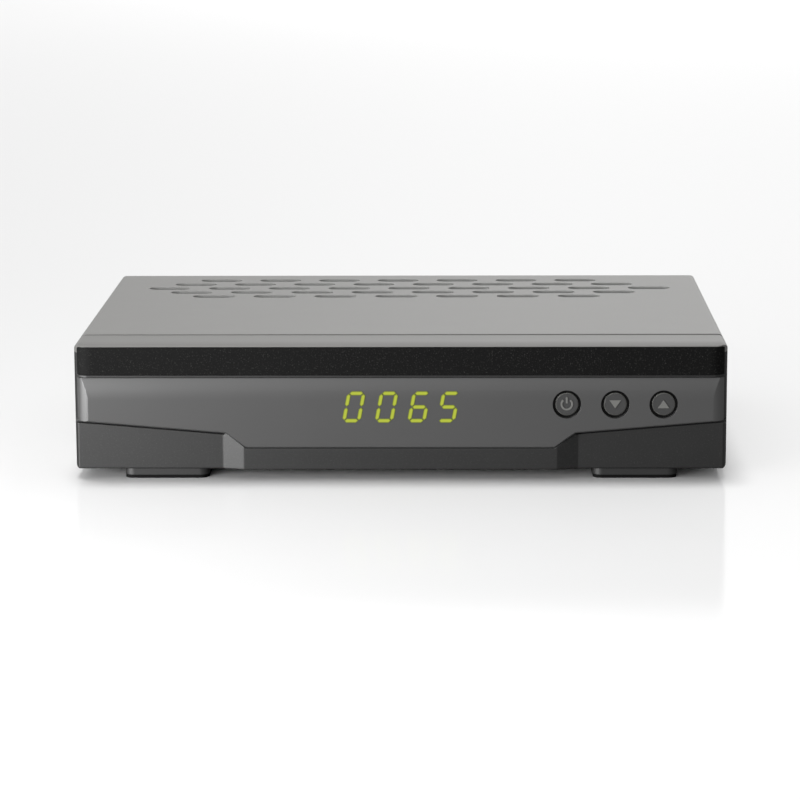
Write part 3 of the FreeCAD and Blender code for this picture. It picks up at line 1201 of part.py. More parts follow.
def make_usb_socket():
    """Storage socket: a steel shell and a plastic tongue."""
    body = new_body(USB_ACROSS, "0", BOARD_TOP)
    front = f"({SOCKET_MOUTH} - usb_length)"
    half = "usb_width / 2"
    slab(body, "XZ", front, "usb_length", rectangle(f"-{half}", half, "0", "usb_height"))
    cut(body, "XZ", f"{front} + usb_wall", "usb_length",
        rectangle(f"-({half} - usb_wall)", f"{half} - usb_wall", "usb_wall", "usb_height - usb_wall"))
    keep(body, "usb_shell")
    tongue = block(f"{USB_ACROSS} - usb_tongue_half", f"{front} + usb_wall",
                   f"{BOARD_TOP} + usb_height - 2 * usb_wall - usb_tongue_thickness", "2 * usb_tongue_half",
                   "usb_length - 4 * usb_wall", "usb_tongue_thickness")
    keep(tongue, "usb_tongue")


def scart_outline(inset):
    """Front view of the peripheral socket, with one slanted lower corner."""
    half = f"(scart_width / 2 - {inset})"
    rise = f"(scart_height / 2 - {inset})"
    return Outline([(f"-{half}", f"-{rise}"), (f"{half} - scart_cut", f"-{rise}"),
                    (half, f"-({rise} - scart_cut)"), (half, rise), (f"-{half}", rise)])


def make_scart_socket():
    """Peripheral socket: a plastic body with a groove round its contact block and two screw ears."""
    body = new_body(SCART_ACROSS, "0", SCART_UP)
    front = f"({SOCKET_MOUTH} - scart_length)"
    slab(body, "XZ", front, "scart_length", scart_outline("0"))
    ear_rise = "scart_ear_height / 2"
    slab(body, "XZ", f"{REAR_INSIDE} - scart_ear_thickness", "scart_ear_thickness",
         rectangle("-scart_ear_half", "scart_ear_half", f"-{ear_rise}", ear_rise))
    cut(body, "XZ", f"{SOCKET_MOUTH} - scart_groove_depth", "scart_length", scart_outline("scart_rim"))
    slab(body, "XZ", f"{SOCKET_MOUTH} - scart_groove_depth", "scart_groove_depth - socket_proud",
         scart_outline("(scart_rim + scart_groove)"))
    first = f"-{(SCART_CONTACT_COUNT - 1) / 2} * scart_contact_pitch"
    contacts = []
    for sign in SIDES:
        middle = f"{sign} * scart_contact_offset"
        contacts.append(rectangle(f"{first} - scart_contact_width / 2", f"{first} + scart_contact_width / 2",
                                  f"{middle} - scart_contact_height / 2",
                                  f"{middle} + scart_contact_height / 2"))
    holes = cut(body, "XZ", f"{SOCKET_MOUTH} - scart_groove_depth", "scart_length", *contacts)
    row(body, [holes], "X", SCART_CONTACT_COUNT, "scart_contact_pitch")
    cut(body, "XZ", f"{REAR_INSIDE} - scart_length", "2 * scart_length",
        *[Disc(f"{sign} * scart_screw_half", "0", SCREW_HOLE) for sign in SIDES])
    keep(body, "scart_socket")


def make_audio_socket():
    """Digital audio socket: a square housing inside, a collar in the panel and a contact ring outside."""
    body = new_body(AUDIO_ACROSS, "0", AUDIO_UP)
    half = "audio_housing / 2"
    slab(body, "XZ", f"{REAR_INSIDE} - audio_housing_length", "audio_housing_length",
         rectangle(f"-{half}", half, "-audio_up", half))
    end = f"({REAR_OUTSIDE} + audio_reach)"
    collar_end = f"({REAR_OUTSIDE} + audio_collar_proud)"
    slab(body, "XZ", f"{REAR_INSIDE} - sheet_thickness", f"{collar_end} - {REAR_INSIDE} + sheet_thickness",
         Disc("0", "0", "audio_collar_radius"))
    slab(body, "XZ", REAR_OUTSIDE, f"{end} - {REAR_OUTSIDE}", Disc("0", "0", "audio_radius"))
    cut(body, "XZ", f"{end} - audio_bore_depth", "audio_bore_depth", Disc("0", "0", "audio_bore"))
    keep(body, "digital_audio_socket")


def make_power_jack():
    """Low voltage jack: a plastic body with a round hole and a centre pin."""
    body = new_body(JACK_ACROSS, "0", JACK_UP)
    half = "jack_width / 2"
    rise = "jack_height / 2"
    slab(body, "XZ", f"{SOCKET_MOUTH} - jack_length", "jack_length",
         rectangle(f"-{half}", half, f"-{rise}", rise))
    cut(body, "XZ", f"{SOCKET_MOUTH} - jack_bore_depth", "jack_bore_depth", Disc("0", "0", "jack_bore"))
    keep(body, "power_jack")
    pin_body = new_body(JACK_ACROSS, "0", JACK_UP)
    slab(pin_body, "XZ", f"{SOCKET_MOUTH} - jack_bore_depth", "jack_bore_depth - socket_proud",
         Disc("0", "0", "jack_pin"))
    keep(pin_body, "power_jack_pin")


def make_processor():
    """Processor with its thermal pad and finned heatsink."""
    def centred(size, low, height):
        left, front = f"processor_across - {size} / 2", f"{PROCESSOR_BACK} - {size} / 2"
        return block(left, front, low, size, size, height)

    pad_low = f"({BOARD_TOP} + processor_height)"
    keep(centred("processor_size", BOARD_TOP, "processor_height"), "processor_chip")
    keep(centred("thermal_pad_size", pad_low, "thermal_pad_thickness"), "thermal_pad")
    body = new_body("processor_across", PROCESSOR_BACK, f"{pad_low} + thermal_pad_thickness")
    half = "heatsink_size / 2"
    slab(body, "XY", "0", "heatsink_height", rectangle(f"-{half}", half, f"-{half}", half))
    first = f"(-{(FIN_SPACE_COUNT - 1) / 2} * fin_pitch)"
    space = cut(body, "XY", "heatsink_base", "heatsink_height",
                rectangle(f"{first} - fin_gap / 2", f"{first} + fin_gap / 2", "-heatsink_size",
                          "heatsink_size"))
    row(body, [space], "X", FIN_SPACE_COUNT, "fin_pitch")
    keep(body, "heatsink")


def make_board_parts():
    """Other large parts of the main board."""
    keep(block("memory_across", f"{PROCESSOR_BACK} - memory_length / 2", BOARD_TOP, "memory_width",
               "memory_length", "memory_height"), "memory_chip")
    body = new_body("inductor_across", INDUCTOR_BACK, BOARD_TOP)
    half = "inductor_size / 2"
    slab(body, "XY", "0", "inductor_height", rounded(f"-{half}", half, f"-{half}", half, "inductor_corner"))
    keep(body, "power_inductor")
    keep(upright("input_capacitor_across", INPUT_CAPACITOR_BACK, BOARD_TOP, "capacitor_radius",
                 "capacitor_height"), "input_capacitor")
    keep(upright("aerial_capacitor_across", AERIAL_CAPACITOR_BACK, BOARD_TOP, "capacitor_radius",
                 "capacitor_height"), "aerial_supply_capacitor")
    body = new_body("crystal_across", CRYSTAL_BACK, BOARD_TOP)
    slab(body, "XY", "0", "crystal_height",
         slot("-crystal_width / 2", "crystal_width / 2", "0", "crystal_length"))
    keep(body, "clock_crystal")


def make_ribbon():
    """Flat ribbon cable from the front board back and down to the main board, and its two connectors."""
    plug_end = f"({FRONT_BOARD_REAR} + plug_height)"
    plug_top = f"({BOARD_TOP} + plug_height)"
    bend = f"({RIBBON_UP} - {plug_top})"
    turn_back = f"({RIBBON_END_BACK} - {bend})"
    half = "(ribbon_thickness / 2)"
    route = Outline([
        (plug_end, f"{RIBBON_UP} - {half}"), (turn_back, f"{RIBBON_UP} - {half}"),
        (f"{RIBBON_END_BACK} - {half}", plug_top), (f"{RIBBON_END_BACK} + {half}", plug_top),
        (turn_back, f"{RIBBON_UP} + {half}"), (plug_end, f"{RIBBON_UP} + {half}"),
    ], {1: (f"{bend} - {half}", -1), 3: (f"{bend} + {half}", 1)})
    body = new_body("ribbon_across - ribbon_width / 2")
    slab(body, "YZ", "0", "ribbon_width", route)
    keep(body, "ribbon_cable")
    keep(block("ribbon_across - plug_width / 2", FRONT_BOARD_REAR, f"{RIBBON_UP} - plug_depth / 2",
               "plug_width", "plug_height", "plug_depth"), "front_ribbon_connector")
    keep(block("ribbon_across - plug_width / 2", f"{RIBBON_END_BACK} - plug_depth / 2", BOARD_TOP,
               "plug_width", "plug_depth", "plug_height"), "main_ribbon_connector")


# ----------------------------------------------------------------------------------------- the whole

def check_model():
    """Stop if anything failed, or if a cut removed nothing."""
    DOC.recompute()
    failed = [item.Label for item in DOC.Objects if {"Invalid", "Error"} & set(item.State)]
    if failed:
        raise RuntimeError(f"failed objects: {failed}")
    for item in DOC.Objects:
        if item.TypeId in ("PartDesign::Pocket", "PartDesign::Groove"):
            if item.BaseFeature.Shape.Volume - item.Shape.Volume < SMALL:
                raise RuntimeError(f"{item.Label} of {item.getParentGeoFeatureGroup().Label} cuts nothing")
    for part in PARTS:
        if part.Shape.isNull() or not part.Shape.isValid():
            raise RuntimeError(f"bad shape: {part.Label}")


def write_parts():
    """Write each sub-part's shape to its own file."""
    os.makedirs("parts", exist_ok=True)
    for part in PARTS:
        part.Shape.exportStep(f"parts/{part.Label}.step")
        print(f"{part.Label}: {len(part.Shape.Solids)} solid(s), {part.Shape.Volume:.1f} mm3")


def main():
    """Build every sub-part, test the model and write it."""
    make_bottom_chassis()
    make_top_cover()
    make_front_bezel()
    make_trim_band()
    make_display_panel()
    make_feet()
    make_buttons()
    make_switches()
    make_front_board()
    make_display_module()
    make_display_segments()
    make_receiver_eye()
    make_driver_chip()
    make_main_board()
    make_standoffs()
    make_tuner()
    make_hdmi_socket()
    make_usb_socket()
    make_scart_socket()
    make_audio_socket()
    make_power_jack()
    make_processor()
    make_board_parts()
    make_ribbon()
    make_fasteners()
    check_model()
    write_parts()


main()
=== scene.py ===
"""Looks of a desktop satellite television receiver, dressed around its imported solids.

The steel cover, the moulded front, most sockets and the boards keep their solids and get the finish of
the real material. The lit figures, the threaded aerial sockets and the digital audio socket are modelled
here. Places and sizes of pieces are in millimetres, as their docstrings say, and those of the studio in
metres.
"""

from __future__ import annotations

import logging
import math
from dataclasses import dataclass, field
from enum import Enum
from typing import Callable

import bpy
from bpy.types import Camera, Light, Material, Node, NodeSocket, NodeTree, Object, World
from mathutils import Matrix, Vector

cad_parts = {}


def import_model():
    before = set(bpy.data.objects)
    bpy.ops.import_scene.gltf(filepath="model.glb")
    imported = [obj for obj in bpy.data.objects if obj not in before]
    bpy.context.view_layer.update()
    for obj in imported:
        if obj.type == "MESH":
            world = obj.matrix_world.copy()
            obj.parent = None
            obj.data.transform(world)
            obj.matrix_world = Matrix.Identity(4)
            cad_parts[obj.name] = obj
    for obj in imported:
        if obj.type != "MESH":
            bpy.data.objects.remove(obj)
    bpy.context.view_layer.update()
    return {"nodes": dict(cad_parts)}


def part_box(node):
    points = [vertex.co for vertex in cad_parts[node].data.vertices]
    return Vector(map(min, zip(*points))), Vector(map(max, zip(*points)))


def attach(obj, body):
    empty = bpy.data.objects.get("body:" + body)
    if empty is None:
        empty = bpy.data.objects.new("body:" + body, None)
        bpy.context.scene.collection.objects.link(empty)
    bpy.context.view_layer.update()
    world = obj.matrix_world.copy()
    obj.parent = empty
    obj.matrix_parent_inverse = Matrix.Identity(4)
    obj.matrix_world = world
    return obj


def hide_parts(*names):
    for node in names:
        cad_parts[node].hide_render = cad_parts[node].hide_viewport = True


MM = 0.001
PLASTIC_IOR = 1.5
# Attribute that is 1 inside a lit bar and 0 on its rim.
GLOW = "glow"
# Degrees between faces of a round piece above which an edge stays sharp.
ROUND_ANGLE = 40.0
# Metres within which two places count as the same.
NEAR = 1e-6
# Part of a normal along an axis above which a face counts as facing that way.
ALONG = 0.9
LOG = logging.getLogger("receiver")


# ------------------------------------------------------------------------------------ small helpers

def linear(colour: str, share: float = 1.0) -> tuple[float, float, float, float]:
    """Turn an sRGB hex colour into linear light.

    Args:
        colour: The colour as "#rrggbb".
        share: A factor on the light, such as 0.9 for a tenth darker.

    Returns:
        Red, green, blue and alpha for a shader's socket.
    """
    parts = [int(colour[start:start + 2], 16) / 255 for start in (1, 3, 5)]
    light = [part / 12.92 if part <= 0.04045 else ((part + 0.055) / 1.055) ** 2.4 for part in parts]
    return (*[min(1.0, part * share) for part in light], 1.0)


def add(tree: NodeTree, kind: str, settings: dict | None = None, links: dict | None = None) -> Node:
    """Add one node to a tree with its settings and the links into it.

    Args:
        tree: The node tree that gets the node.
        kind: The node's type, such as "ShaderNodeMix".
        settings: Values by name: an input socket's name or number, or else a property of the node.
        links: Output sockets by the name or number of the input that each one feeds.

    Returns:
        The new node.
    """
    node = tree.nodes.new(kind)
    for name, value in (settings or {}).items():
        if isinstance(name, int) or name in node.inputs:
            node.inputs[name].default_value = value
        else:
            setattr(node, name, value)
    for name, source in (links or {}).items():
        tree.links.new(source, node.inputs[name])
    return node


def blank(owner: Material | World) -> NodeTree:
    """Empty the node tree of a material or of the world.

    Args:
        owner: The material or the world.

    Returns:
        Its node tree, without any node.
    """
    owner.use_nodes = True
    owner.node_tree.nodes.clear()
    return owner.node_tree


def at(across: float, back: float, up: float) -> Vector:
    """Place of a point in the frame.

    Args:
        across: Millimetres to the right of the middle.
        back: Millimetres behind the front of the trim band.
        up: Millimetres above the floor.

    Returns:
        The point in metres.
    """
    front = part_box("trim_band")[0].y
    return Vector((across * MM, front + back * MM, up * MM))


def deselect() -> None:
    """Leave nothing selected, in object mode."""
    if bpy.context.object and bpy.context.object.mode != "OBJECT":
        bpy.ops.object.mode_set(mode="OBJECT")
    bpy.ops.object.select_all(action="DESELECT")


def select(piece: Object) -> None:
    """Select one object alone and make it the active one.

    Args:
        piece: The object.
    """
    deselect()
    piece.select_set(True)
    bpy.context.view_layer.objects.active = piece


class Part(Enum):
    """Kinds of mesh element that can be selected in edit mode."""

    POINTS = "VERT"
    EDGES = "EDGE"
    FACES = "FACE"


def edit(piece: Object, part: Part, test: Callable[..., bool]) -> None:
    """Go into edit mode with the elements selected that a test accepts.

    Args:
        piece: The mesh object to edit.
        part: The kind of element.
        test: Called with a vertex, with an edge's two end points, or with a face.
    """
    select(piece)
    bpy.context.tool_settings.mesh_select_mode = tuple(part is kind for kind in Part)
    mesh = piece.data
    for group in (mesh.vertices, mesh.edges, mesh.polygons):
        group.foreach_set("select", [False] * len(group))
    if part is Part.POINTS:
        chosen = [point for point in mesh.vertices if test(point)]
    elif part is Part.EDGES:
        chosen = [edge for edge in mesh.edges if test(*[mesh.vertices[end].co for end in edge.vertices])]
    else:
        chosen = [face for face in mesh.polygons if test(face)]
    for element in chosen:
        element.select = True
    bpy.ops.object.mode_set(mode="EDIT")


def settle(piece: Object, angle: float = 30.0) -> Object:
    """Finish a mesh: apply its place, point its faces outwards and shade it smooth between sharp edges.

    Args:
        piece: The mesh object.
        angle: Degrees above which an edge stays sharp.

    Returns:
        The same object, at the origin, unturned and unscaled.
    """
    edit(piece, Part.FACES, lambda face: True)
    bpy.ops.mesh.select_all(action="SELECT")
    bpy.ops.mesh.normals_make_consistent(inside=False)
    bpy.ops.object.mode_set(mode="OBJECT")
    bpy.ops.object.transform_apply()
    bpy.ops.object.shade_smooth_by_angle(angle=math.radians(angle))
    return piece


def shift(piece: Object, move: tuple[float, float, float] = (0, 0, 0),
          turn: tuple[float, float, float] = (0, 0, 0)) -> Object:
    """Turn a piece about the origin, move it, and apply both.

    Args:
        piece: The mesh object, at the origin and unturned.
        move: How far it goes, in metres.
        turn: Its turns about X, Y and Z, in radians.

    Returns:
        The same object, at the origin and unturned again.
    """
    select(piece)
    piece.rotation_euler = turn
    piece.location = move
    bpy.ops.object.transform_apply()
    return piece


def modify(piece: Object, kind: str, **settings: object) -> None:
    """Add a modifier with its settings and apply it.

    Args:
        piece: The mesh object.
        kind: The modifier's type, such as "BEVEL".
        **settings: Its properties by name.
    """
    select(piece)
    modifier = piece.modifiers.new(kind.lower(), kind)
    for name, value in settings.items():
        setattr(modifier, name, value)
    bpy.ops.object.modifier_apply(modifier=modifier.name)


def join(name: str, pieces: list[Object]) -> Object:
    """Join several objects into one and give it a name.

    Args:
        name: Name of the result.
        pieces: The objects, of which the first one takes the others in.

    Returns:
        The joined object.
    """
    deselect()
    for piece in pieces:
        piece.select_set(True)
    bpy.context.view_layer.objects.active = pieces[0]
    bpy.ops.object.join()
    pieces[0].name = name
    pieces[0].data.name = name
    return pieces[0]


# ----------------------------------------------------------------------------------------- finishes

class Grain(Enum):
    """Ways in which a surface can be uneven."""

    PEEL = "rolling waves of a sprayed or moulded skin"
    SPARK = "sharp pits of a spark-eroded mould"
    SPANGLE = "zinc crystals of hot-dipped sheet"
    BRUSHED = "fine lines along the piece"
    RIBBED = "parallel round ribs"
    TRACES = "copper tracks under a lacquer"


@dataclass(frozen=True)
class Finish:
    """A real material together with the way its surface was made.

    Attributes:
        name: Common name of the material and its process.
        colour: Its sRGB colour as a hex value.
        roughness: Spread of its gloss, from 0 to 1.
        metallic: 1 for bare metal.
        grain: Kind of unevenness.
        grain_mm: Size of one bump, crystal or rib.
        depth_mm: Height of the bumps.
        mottle: Share by which the colour varies from place to place.
        patchy: How far the roughness varies from place to place.
        edge_mm: Radius that softens the light on sharp edges.
        specular: Level of the plain reflection, 0.5 for most materials.
        painted_glint: sRGB colour of the pale points painted on the grain's peaks as glints, where it has
            them.
    """

    name: str
    colour: str
    roughness: float
    metallic: float = 0.0
    grain: Grain = Grain.PEEL
    grain_mm: float = 0.8
    depth_mm: float = 0.004
    mottle: float = 0.04
    patchy: float = 0.04
    edge_mm: float = 0.0
    specular: float = 0.5
    painted_glint: str | None = None

    # Size of the broad patches of colour, and the share of the fine unevenness in them.
    PATCH_MM = 14.0
    FINE_SHARE = 0.6
    # Heights of the grain between which a painted glint grows from nothing to its full colour.
    GLINT_HEIGHTS = (0.56, 0.74)
    # Brushed lines are this much finer along the piece than across it.
    BRUSHED_ALONG = 0.03
    # The wave texture's scale for one rib per unit of length.
    RIB_SCALE = 2 / math.tau
    # Pitch of the copper tracks in grains, and the width of the gap that shows as a track.
    TRACK_PITCH = 4
    TRACK_WIDTH = 0.06
    LEAST_ROUGHNESS = 0.03
    EDGE_SAMPLES = 6

    def heights(self, tree: NodeTree, place: NodeSocket) -> NodeSocket:
        """Draw the unevenness of the surface.

        Args:
            tree: The material's node tree.
            place: Object coordinates.

        Returns:
            A socket that runs from 0 in the pits to 1 on the bumps.
        """
        scale = 1 / (self.grain_mm * MM)
        if self.grain is Grain.SPANGLE:
            crystals = {"Scale": scale, "Randomness": 1.0}
            cells = add(tree, "ShaderNodeTexVoronoi", crystals, {"Vector": place})
            return add(tree, "ShaderNodeSeparateColor", None, {"Color": cells.outputs["Color"]}).outputs[0]
        if self.grain is Grain.RIBBED:
            ribs = {"bands_direction": "X", "Scale": scale * self.RIB_SCALE, "Distortion": 0.0}
            return add(tree, "ShaderNodeTexWave", ribs, {"Vector": place}).outputs["Fac"]
        if self.grain is Grain.TRACES:
            tracks = {"Scale": scale / self.TRACK_PITCH, "Mortar Size": self.TRACK_WIDTH,
                      "Color1": (0, 0, 0, 1), "Color2": (0.15, 0.15, 0.15, 1), "Mortar": (1, 1, 1, 1)}
            return add(tree, "ShaderNodeTexBrick", tracks, {"Vector": place}).outputs["Fac"]
        if self.grain is Grain.BRUSHED:
            stretch = {"Scale": (self.BRUSHED_ALONG, 1.0, 1.0)}
            place = add(tree, "ShaderNodeMapping", stretch, {"Vector": place}).outputs[0]
        detail = 4.0 if self.grain is Grain.SPARK else 1.5
        noise = {"Scale": scale, "Detail": detail, "Roughness": 0.6}
        return add(tree, "ShaderNodeTexNoise", noise, {"Vector": place}).outputs["Fac"]

    def tint(self, tree: NodeTree, place: NodeSocket, height: NodeSocket) -> NodeSocket:
        """Colour that varies a little from place to place, with glints painted as pale points on the grain's
        peaks where the finish has them.

        Args:
            tree: The material's node tree.
            place: Object coordinates.
            height: The unevenness.

        Returns:
            The socket with the colour.
        """
        patches = add(tree, "ShaderNodeTexNoise", {"Scale": 1 / (self.PATCH_MM * MM), "Detail": 2.0},
                      {"Vector": place})
        both = add(tree, "ShaderNodeMix", {"data_type": "FLOAT", 0: self.FINE_SHARE},
                   {2: patches.outputs["Fac"], 3: height})
        dark, pale = [linear(self.colour, 1 + side * self.mottle * 2) for side in (-1, 1)]
        mixed = add(tree, "ShaderNodeMix", {"data_type": "RGBA", 6: dark, 7: pale}, {0: both.outputs[0]})
        if self.painted_glint is None:
            return mixed.outputs[2]
        # Pale points on the peaks of the grain: painted glints.
        start, full = self.GLINT_HEIGHTS
        points = add(tree, "ShaderNodeMapRange", {"From Min": start, "From Max": full}, {0: height})
        glinted = add(tree, "ShaderNodeMix", {"data_type": "RGBA", 7: linear(self.painted_glint)},
                      {0: points.outputs[0], 6: mixed.outputs[2]})
        return glinted.outputs[2]

    def material(self) -> Material:
        """Build the material.

        Returns:
            The material, named for what it is made of.
        """
        material = bpy.data.materials.new(self.name)
        tree = blank(material)
        place = add(tree, "ShaderNodeTexCoord").outputs["Object"]
        height = self.heights(tree, place)
        limits = {"To Min": max(self.LEAST_ROUGHNESS, self.roughness - self.patchy),
                  "To Max": min(1.0, self.roughness + self.patchy)}
        rough = add(tree, "ShaderNodeMapRange", limits, {"Value": height})
        spread = self.spread(tree, place, rough.outputs[0])
        settings = {"Metallic": self.metallic, "Specular IOR Level": self.specular}
        if not self.metallic:
            settings["IOR"] = PLASTIC_IOR
        bump = add(tree, "ShaderNodeBump", {"Strength": 1.0, "Distance": self.depth_mm * MM},
                   {"Height": height})
        if self.edge_mm:
            soft = {"samples": self.EDGE_SAMPLES, "Radius": self.edge_mm * MM}
            tree.links.new(add(tree, "ShaderNodeBevel", soft).outputs[0], bump.inputs["Normal"])
        shader = add(tree, "ShaderNodeBsdfPrincipled", settings,
                     {"Base Color": self.tint(tree, place, height), "Roughness": spread,
                      "Normal": bump.outputs[0]})
        self.light_up(tree, shader)
        add(tree, "ShaderNodeOutputMaterial", None, {"Surface": shader.outputs[0]})
        return material

    def spread(self, tree: NodeTree, place: NodeSocket, rough: NodeSocket) -> NodeSocket:
        """Roughness from place to place, which most finishes leave as it is."""
        return rough

    def light_up(self, tree: NodeTree, shader: Node) -> None:
        """Add light of its own, which most finishes don't have."""


@dataclass(frozen=True)
class ButtonFinish(Finish):
    """Sprayed button cap: paler on its raised symbol; its rim is painted pale as a highlight and its skirt
    near black as the shade down in its well.

    Attributes:
        symbol: sRGB colour of the symbol.
        rim: sRGB colour of the rim, a painted highlight.
        skirt: sRGB colour of the skirt, painted shade in the well around the cap.
        backs: Millimetres behind the front of the band at which symbol, face and rim end.
    """

    symbol: str = "#82827f"
    # The rim's pale grey is a painted highlight and the skirt's near black is painted shade.
    rim: str = "#767673"
    skirt: str = "#040404"
    backs: tuple[float, float, float] = (0.67, 0.82, 1.08)

    def tint(self, tree: NodeTree, place: NodeSocket, height: NodeSocket) -> NodeSocket:
        """Colour of the skirt, painted near black as shade, of the rim, painted pale as a highlight, and of
        the face and the symbol, one in front of the other.

        Args:
            tree: The material's node tree.
            place: Object coordinates.
            height: The unevenness.

        Returns:
            The socket with the colour.
        """
        parts = add(tree, "ShaderNodeSeparateXYZ", None, {"Vector": place})
        plain = []
        for shade in (self.skirt, self.rim, self.symbol):
            plain.append(add(tree, "ShaderNodeRGB").outputs[0])
            plain[-1].default_value = linear(shade)
        colour, rim, symbol = plain
        layers = (rim, super().tint(tree, place, height), symbol)
        for back, nearer in zip(reversed(self.backs), layers):
            in_front = add(tree, "ShaderNodeMath", {"operation": "LESS_THAN", 1: at(0, back, 0).y},
                           {0: parts.outputs["Y"]})
            mixed = add(tree, "ShaderNodeMix", {"data_type": "RGBA"},
                        {0: in_front.outputs[0], 6: colour, 7: nearer})
            colour = mixed.outputs[2]
        return colour


@dataclass(frozen=True)
class TwoToneAndPaintedLightFinish(Finish):
    """Surface with a second colour in one place, such as a sprayed edge, and also used for painted light on
    the upright walls of slots.

    Attributes:
        second: sRGB colour of that place.
        second_roughness: Spread of its gloss.
        above: Its lower edge, in millimetres above the floor.
        backs: Its front and rear edge, in millimetres behind the front of the band.
        upright: Whether it is on upright faces only.
    """

    second: str = "#7d7c7a"
    second_roughness: float = 0.42
    above: float = 0.0
    backs: tuple[float, float] = (-1.0, 200.0)
    upright: bool = False

    # Upward part of the normal under which a face counts as upright.
    STEEP = 0.5

    def there(self, tree: NodeTree, place: NodeSocket) -> NodeSocket:
        """Find where the second colour is.

        Args:
            tree: The material's node tree.
            place: Object coordinates.

        Returns:
            A socket that is 1 in its place and 0 elsewhere.
        """
        parts = add(tree, "ShaderNodeSeparateXYZ", None, {"Vector": place})
        front, rear = [at(0, back, self.above) for back in self.backs]
        tests = [("GREATER_THAN", parts.outputs["Z"], front.z),
                 ("GREATER_THAN", parts.outputs["Y"], front.y),
                 ("LESS_THAN", parts.outputs["Y"], rear.y)]
        if self.upright:
            normal = add(tree, "ShaderNodeNewGeometry").outputs["Normal"]
            facing = add(tree, "ShaderNodeSeparateXYZ", None, {"Vector": normal})
            rise = add(tree, "ShaderNodeMath", {"operation": "ABSOLUTE"}, {0: facing.outputs["Z"]})
            tests.append(("LESS_THAN", rise.outputs[0], self.STEEP))
        inside = None
        for operation, value, limit in tests:
            test = add(tree, "ShaderNodeMath", {"operation": operation, 1: limit}, {0: value})
            if inside is not None:
                test = add(tree, "ShaderNodeMath", {"operation": "MULTIPLY"}, {0: inside, 1: test.outputs[0]})
            inside = test.outputs[0]
        return inside

    def tint(self, tree: NodeTree, place: NodeSocket, height: NodeSocket) -> NodeSocket:
        """Colour of the surface, and of the place with the second colour."""
        mixed = add(tree, "ShaderNodeMix", {"data_type": "RGBA", 7: linear(self.second)},
                    {0: self.there(tree, place), 6: super().tint(tree, place, height)})
        return mixed.outputs[2]

    def spread(self, tree: NodeTree, place: NodeSocket, rough: NodeSocket) -> NodeSocket:
        """Roughness of the surface, and of the place with the second colour."""
        mixed = add(tree, "ShaderNodeMix", {"data_type": "FLOAT", 3: self.second_roughness},
                    {0: self.there(tree, place), 2: rough})
        return mixed.outputs[0]


@dataclass(frozen=True)
class LitFinish(Finish):
    """Light that comes through a diffusing window, fading towards its rim.

    Attributes:
        glow: sRGB colour in the middle of a bar.
        rim: sRGB colour at the rim.
        strength: Strength of the light, 1 to show the colours as they are written.
    """

    glow: str = "#b2bd3a"
    rim: str = "#5b641d"
    strength: float = 1.0

    def light_up(self, tree: NodeTree, shader: Node) -> None:
        """Light the window from its rim to its middle.

        Args:
            tree: The material's node tree.
            shader: Its shader.
        """
        inner = add(tree, "ShaderNodeAttribute", {"attribute_name": GLOW})
        colours = {"data_type": "RGBA", 6: linear(self.rim), 7: linear(self.glow)}
        light = add(tree, "ShaderNodeMix", colours, {0: inner.outputs["Fac"]})
        tree.links.new(light.outputs[2], shader.inputs["Emission Color"])
        shader.inputs["Emission Strength"].default_value = self.strength


# Polyester paint baked on steel coil: an even satin grey with a very fine orange peel. The upright walls of
# the slots get a paler grey, which is painted light: it stands in for the light that falls on them through
# the slots.
COVER_PAINT = TwoToneAndPaintedLightFinish("coil_painted_steel_with_painted_light_on_slot_walls", "#858482", 0.42, grain_mm=0.5,
                            depth_mm=0.004, mottle=0.03, edge_mm=0.15, second="#b0b0ae",
                            second_roughness=0.5, above=41.2, backs=(60.0, 138.6), upright=True)
# Hot-dipped zinc on steel: dull metal with crystals that catch the light one by one. The crystals of
# thin sheet are under a millimetre; they are drawn at four so that they show.
GALVANISED = Finish("hot_dip_galvanised_sheet", "#a8aaab", 0.4, metallic=1.0, grain=Grain.SPANGLE,
                    grain_mm=4.0, depth_mm=0.002, mottle=0.05, patchy=0.08)
# Black ABS from a fine-grained mould, sprayed in the cover's grey along the ledge: the wings are dark satin
# with fine pale points painted on the grain as glints, and the ledge reads as one surface with the cover.
BEZEL_ABS = TwoToneAndPaintedLightFinish("fine_grained_black_abs_with_painted_ledge", "#1e1e1e", 0.5, grain=Grain.SPARK,
                          grain_mm=0.45, depth_mm=0.02, mottle=0.2, edge_mm=0.6, specular=0.46,
                          painted_glint="#333332", second="#7d7c7a", above=39.4, backs=(-1.0, 17.5))
# ABS from a spark-eroded mould: black with fine pits, and pale points painted on their peaks as glints. The
# pits are about 0.1 mm; they are drawn at 0.45 mm so that they show.
BAND_ABS = Finish("spark_grained_black_abs", "#050505", 0.75, grain=Grain.SPARK, grain_mm=0.45,
                  depth_mm=0.1, mottle=0.4, patchy=0.15, edge_mm=0.15, specular=0.14, painted_glint="#3a3a38")
# Smoked acrylic, polished mould: dark grey and smooth, with a soft mirror on top of its own colour.
PANEL_ACRYLIC = Finish("smoked_acrylic_panel", "#595959", 0.32, grain_mm=30.0, depth_mm=0.004, mottle=0.02,
                       patchy=0.01, edge_mm=0.12, specular=0.4)
# ABS caps: satin dark grey, with the raised symbols paler, a painted highlight on the rim and painted shade
# on the skirt.
CAP_ABS = ButtonFinish("moulded_dark_grey_abs_caps", "#4c4c4c", 0.36, grain=Grain.SPARK, grain_mm=0.45,
                       depth_mm=0.01, mottle=0.12, edge_mm=0.1, specular=0.35)
# Glass-epoxy laminate under green solder lacquer: tracks show as paler lines.
LAMINATE = Finish("green_lacquered_glass_epoxy", "#1a5a35", 0.35, grain=Grain.TRACES, grain_mm=1.6,
                  depth_mm=0.03, mottle=0.25)
# Black ABS housing of the display, moulded matt so that it doesn't mirror.
DISPLAY_ABS = Finish("matt_black_abs_housing", "#0e0e0e", 0.6, grain_mm=0.4)
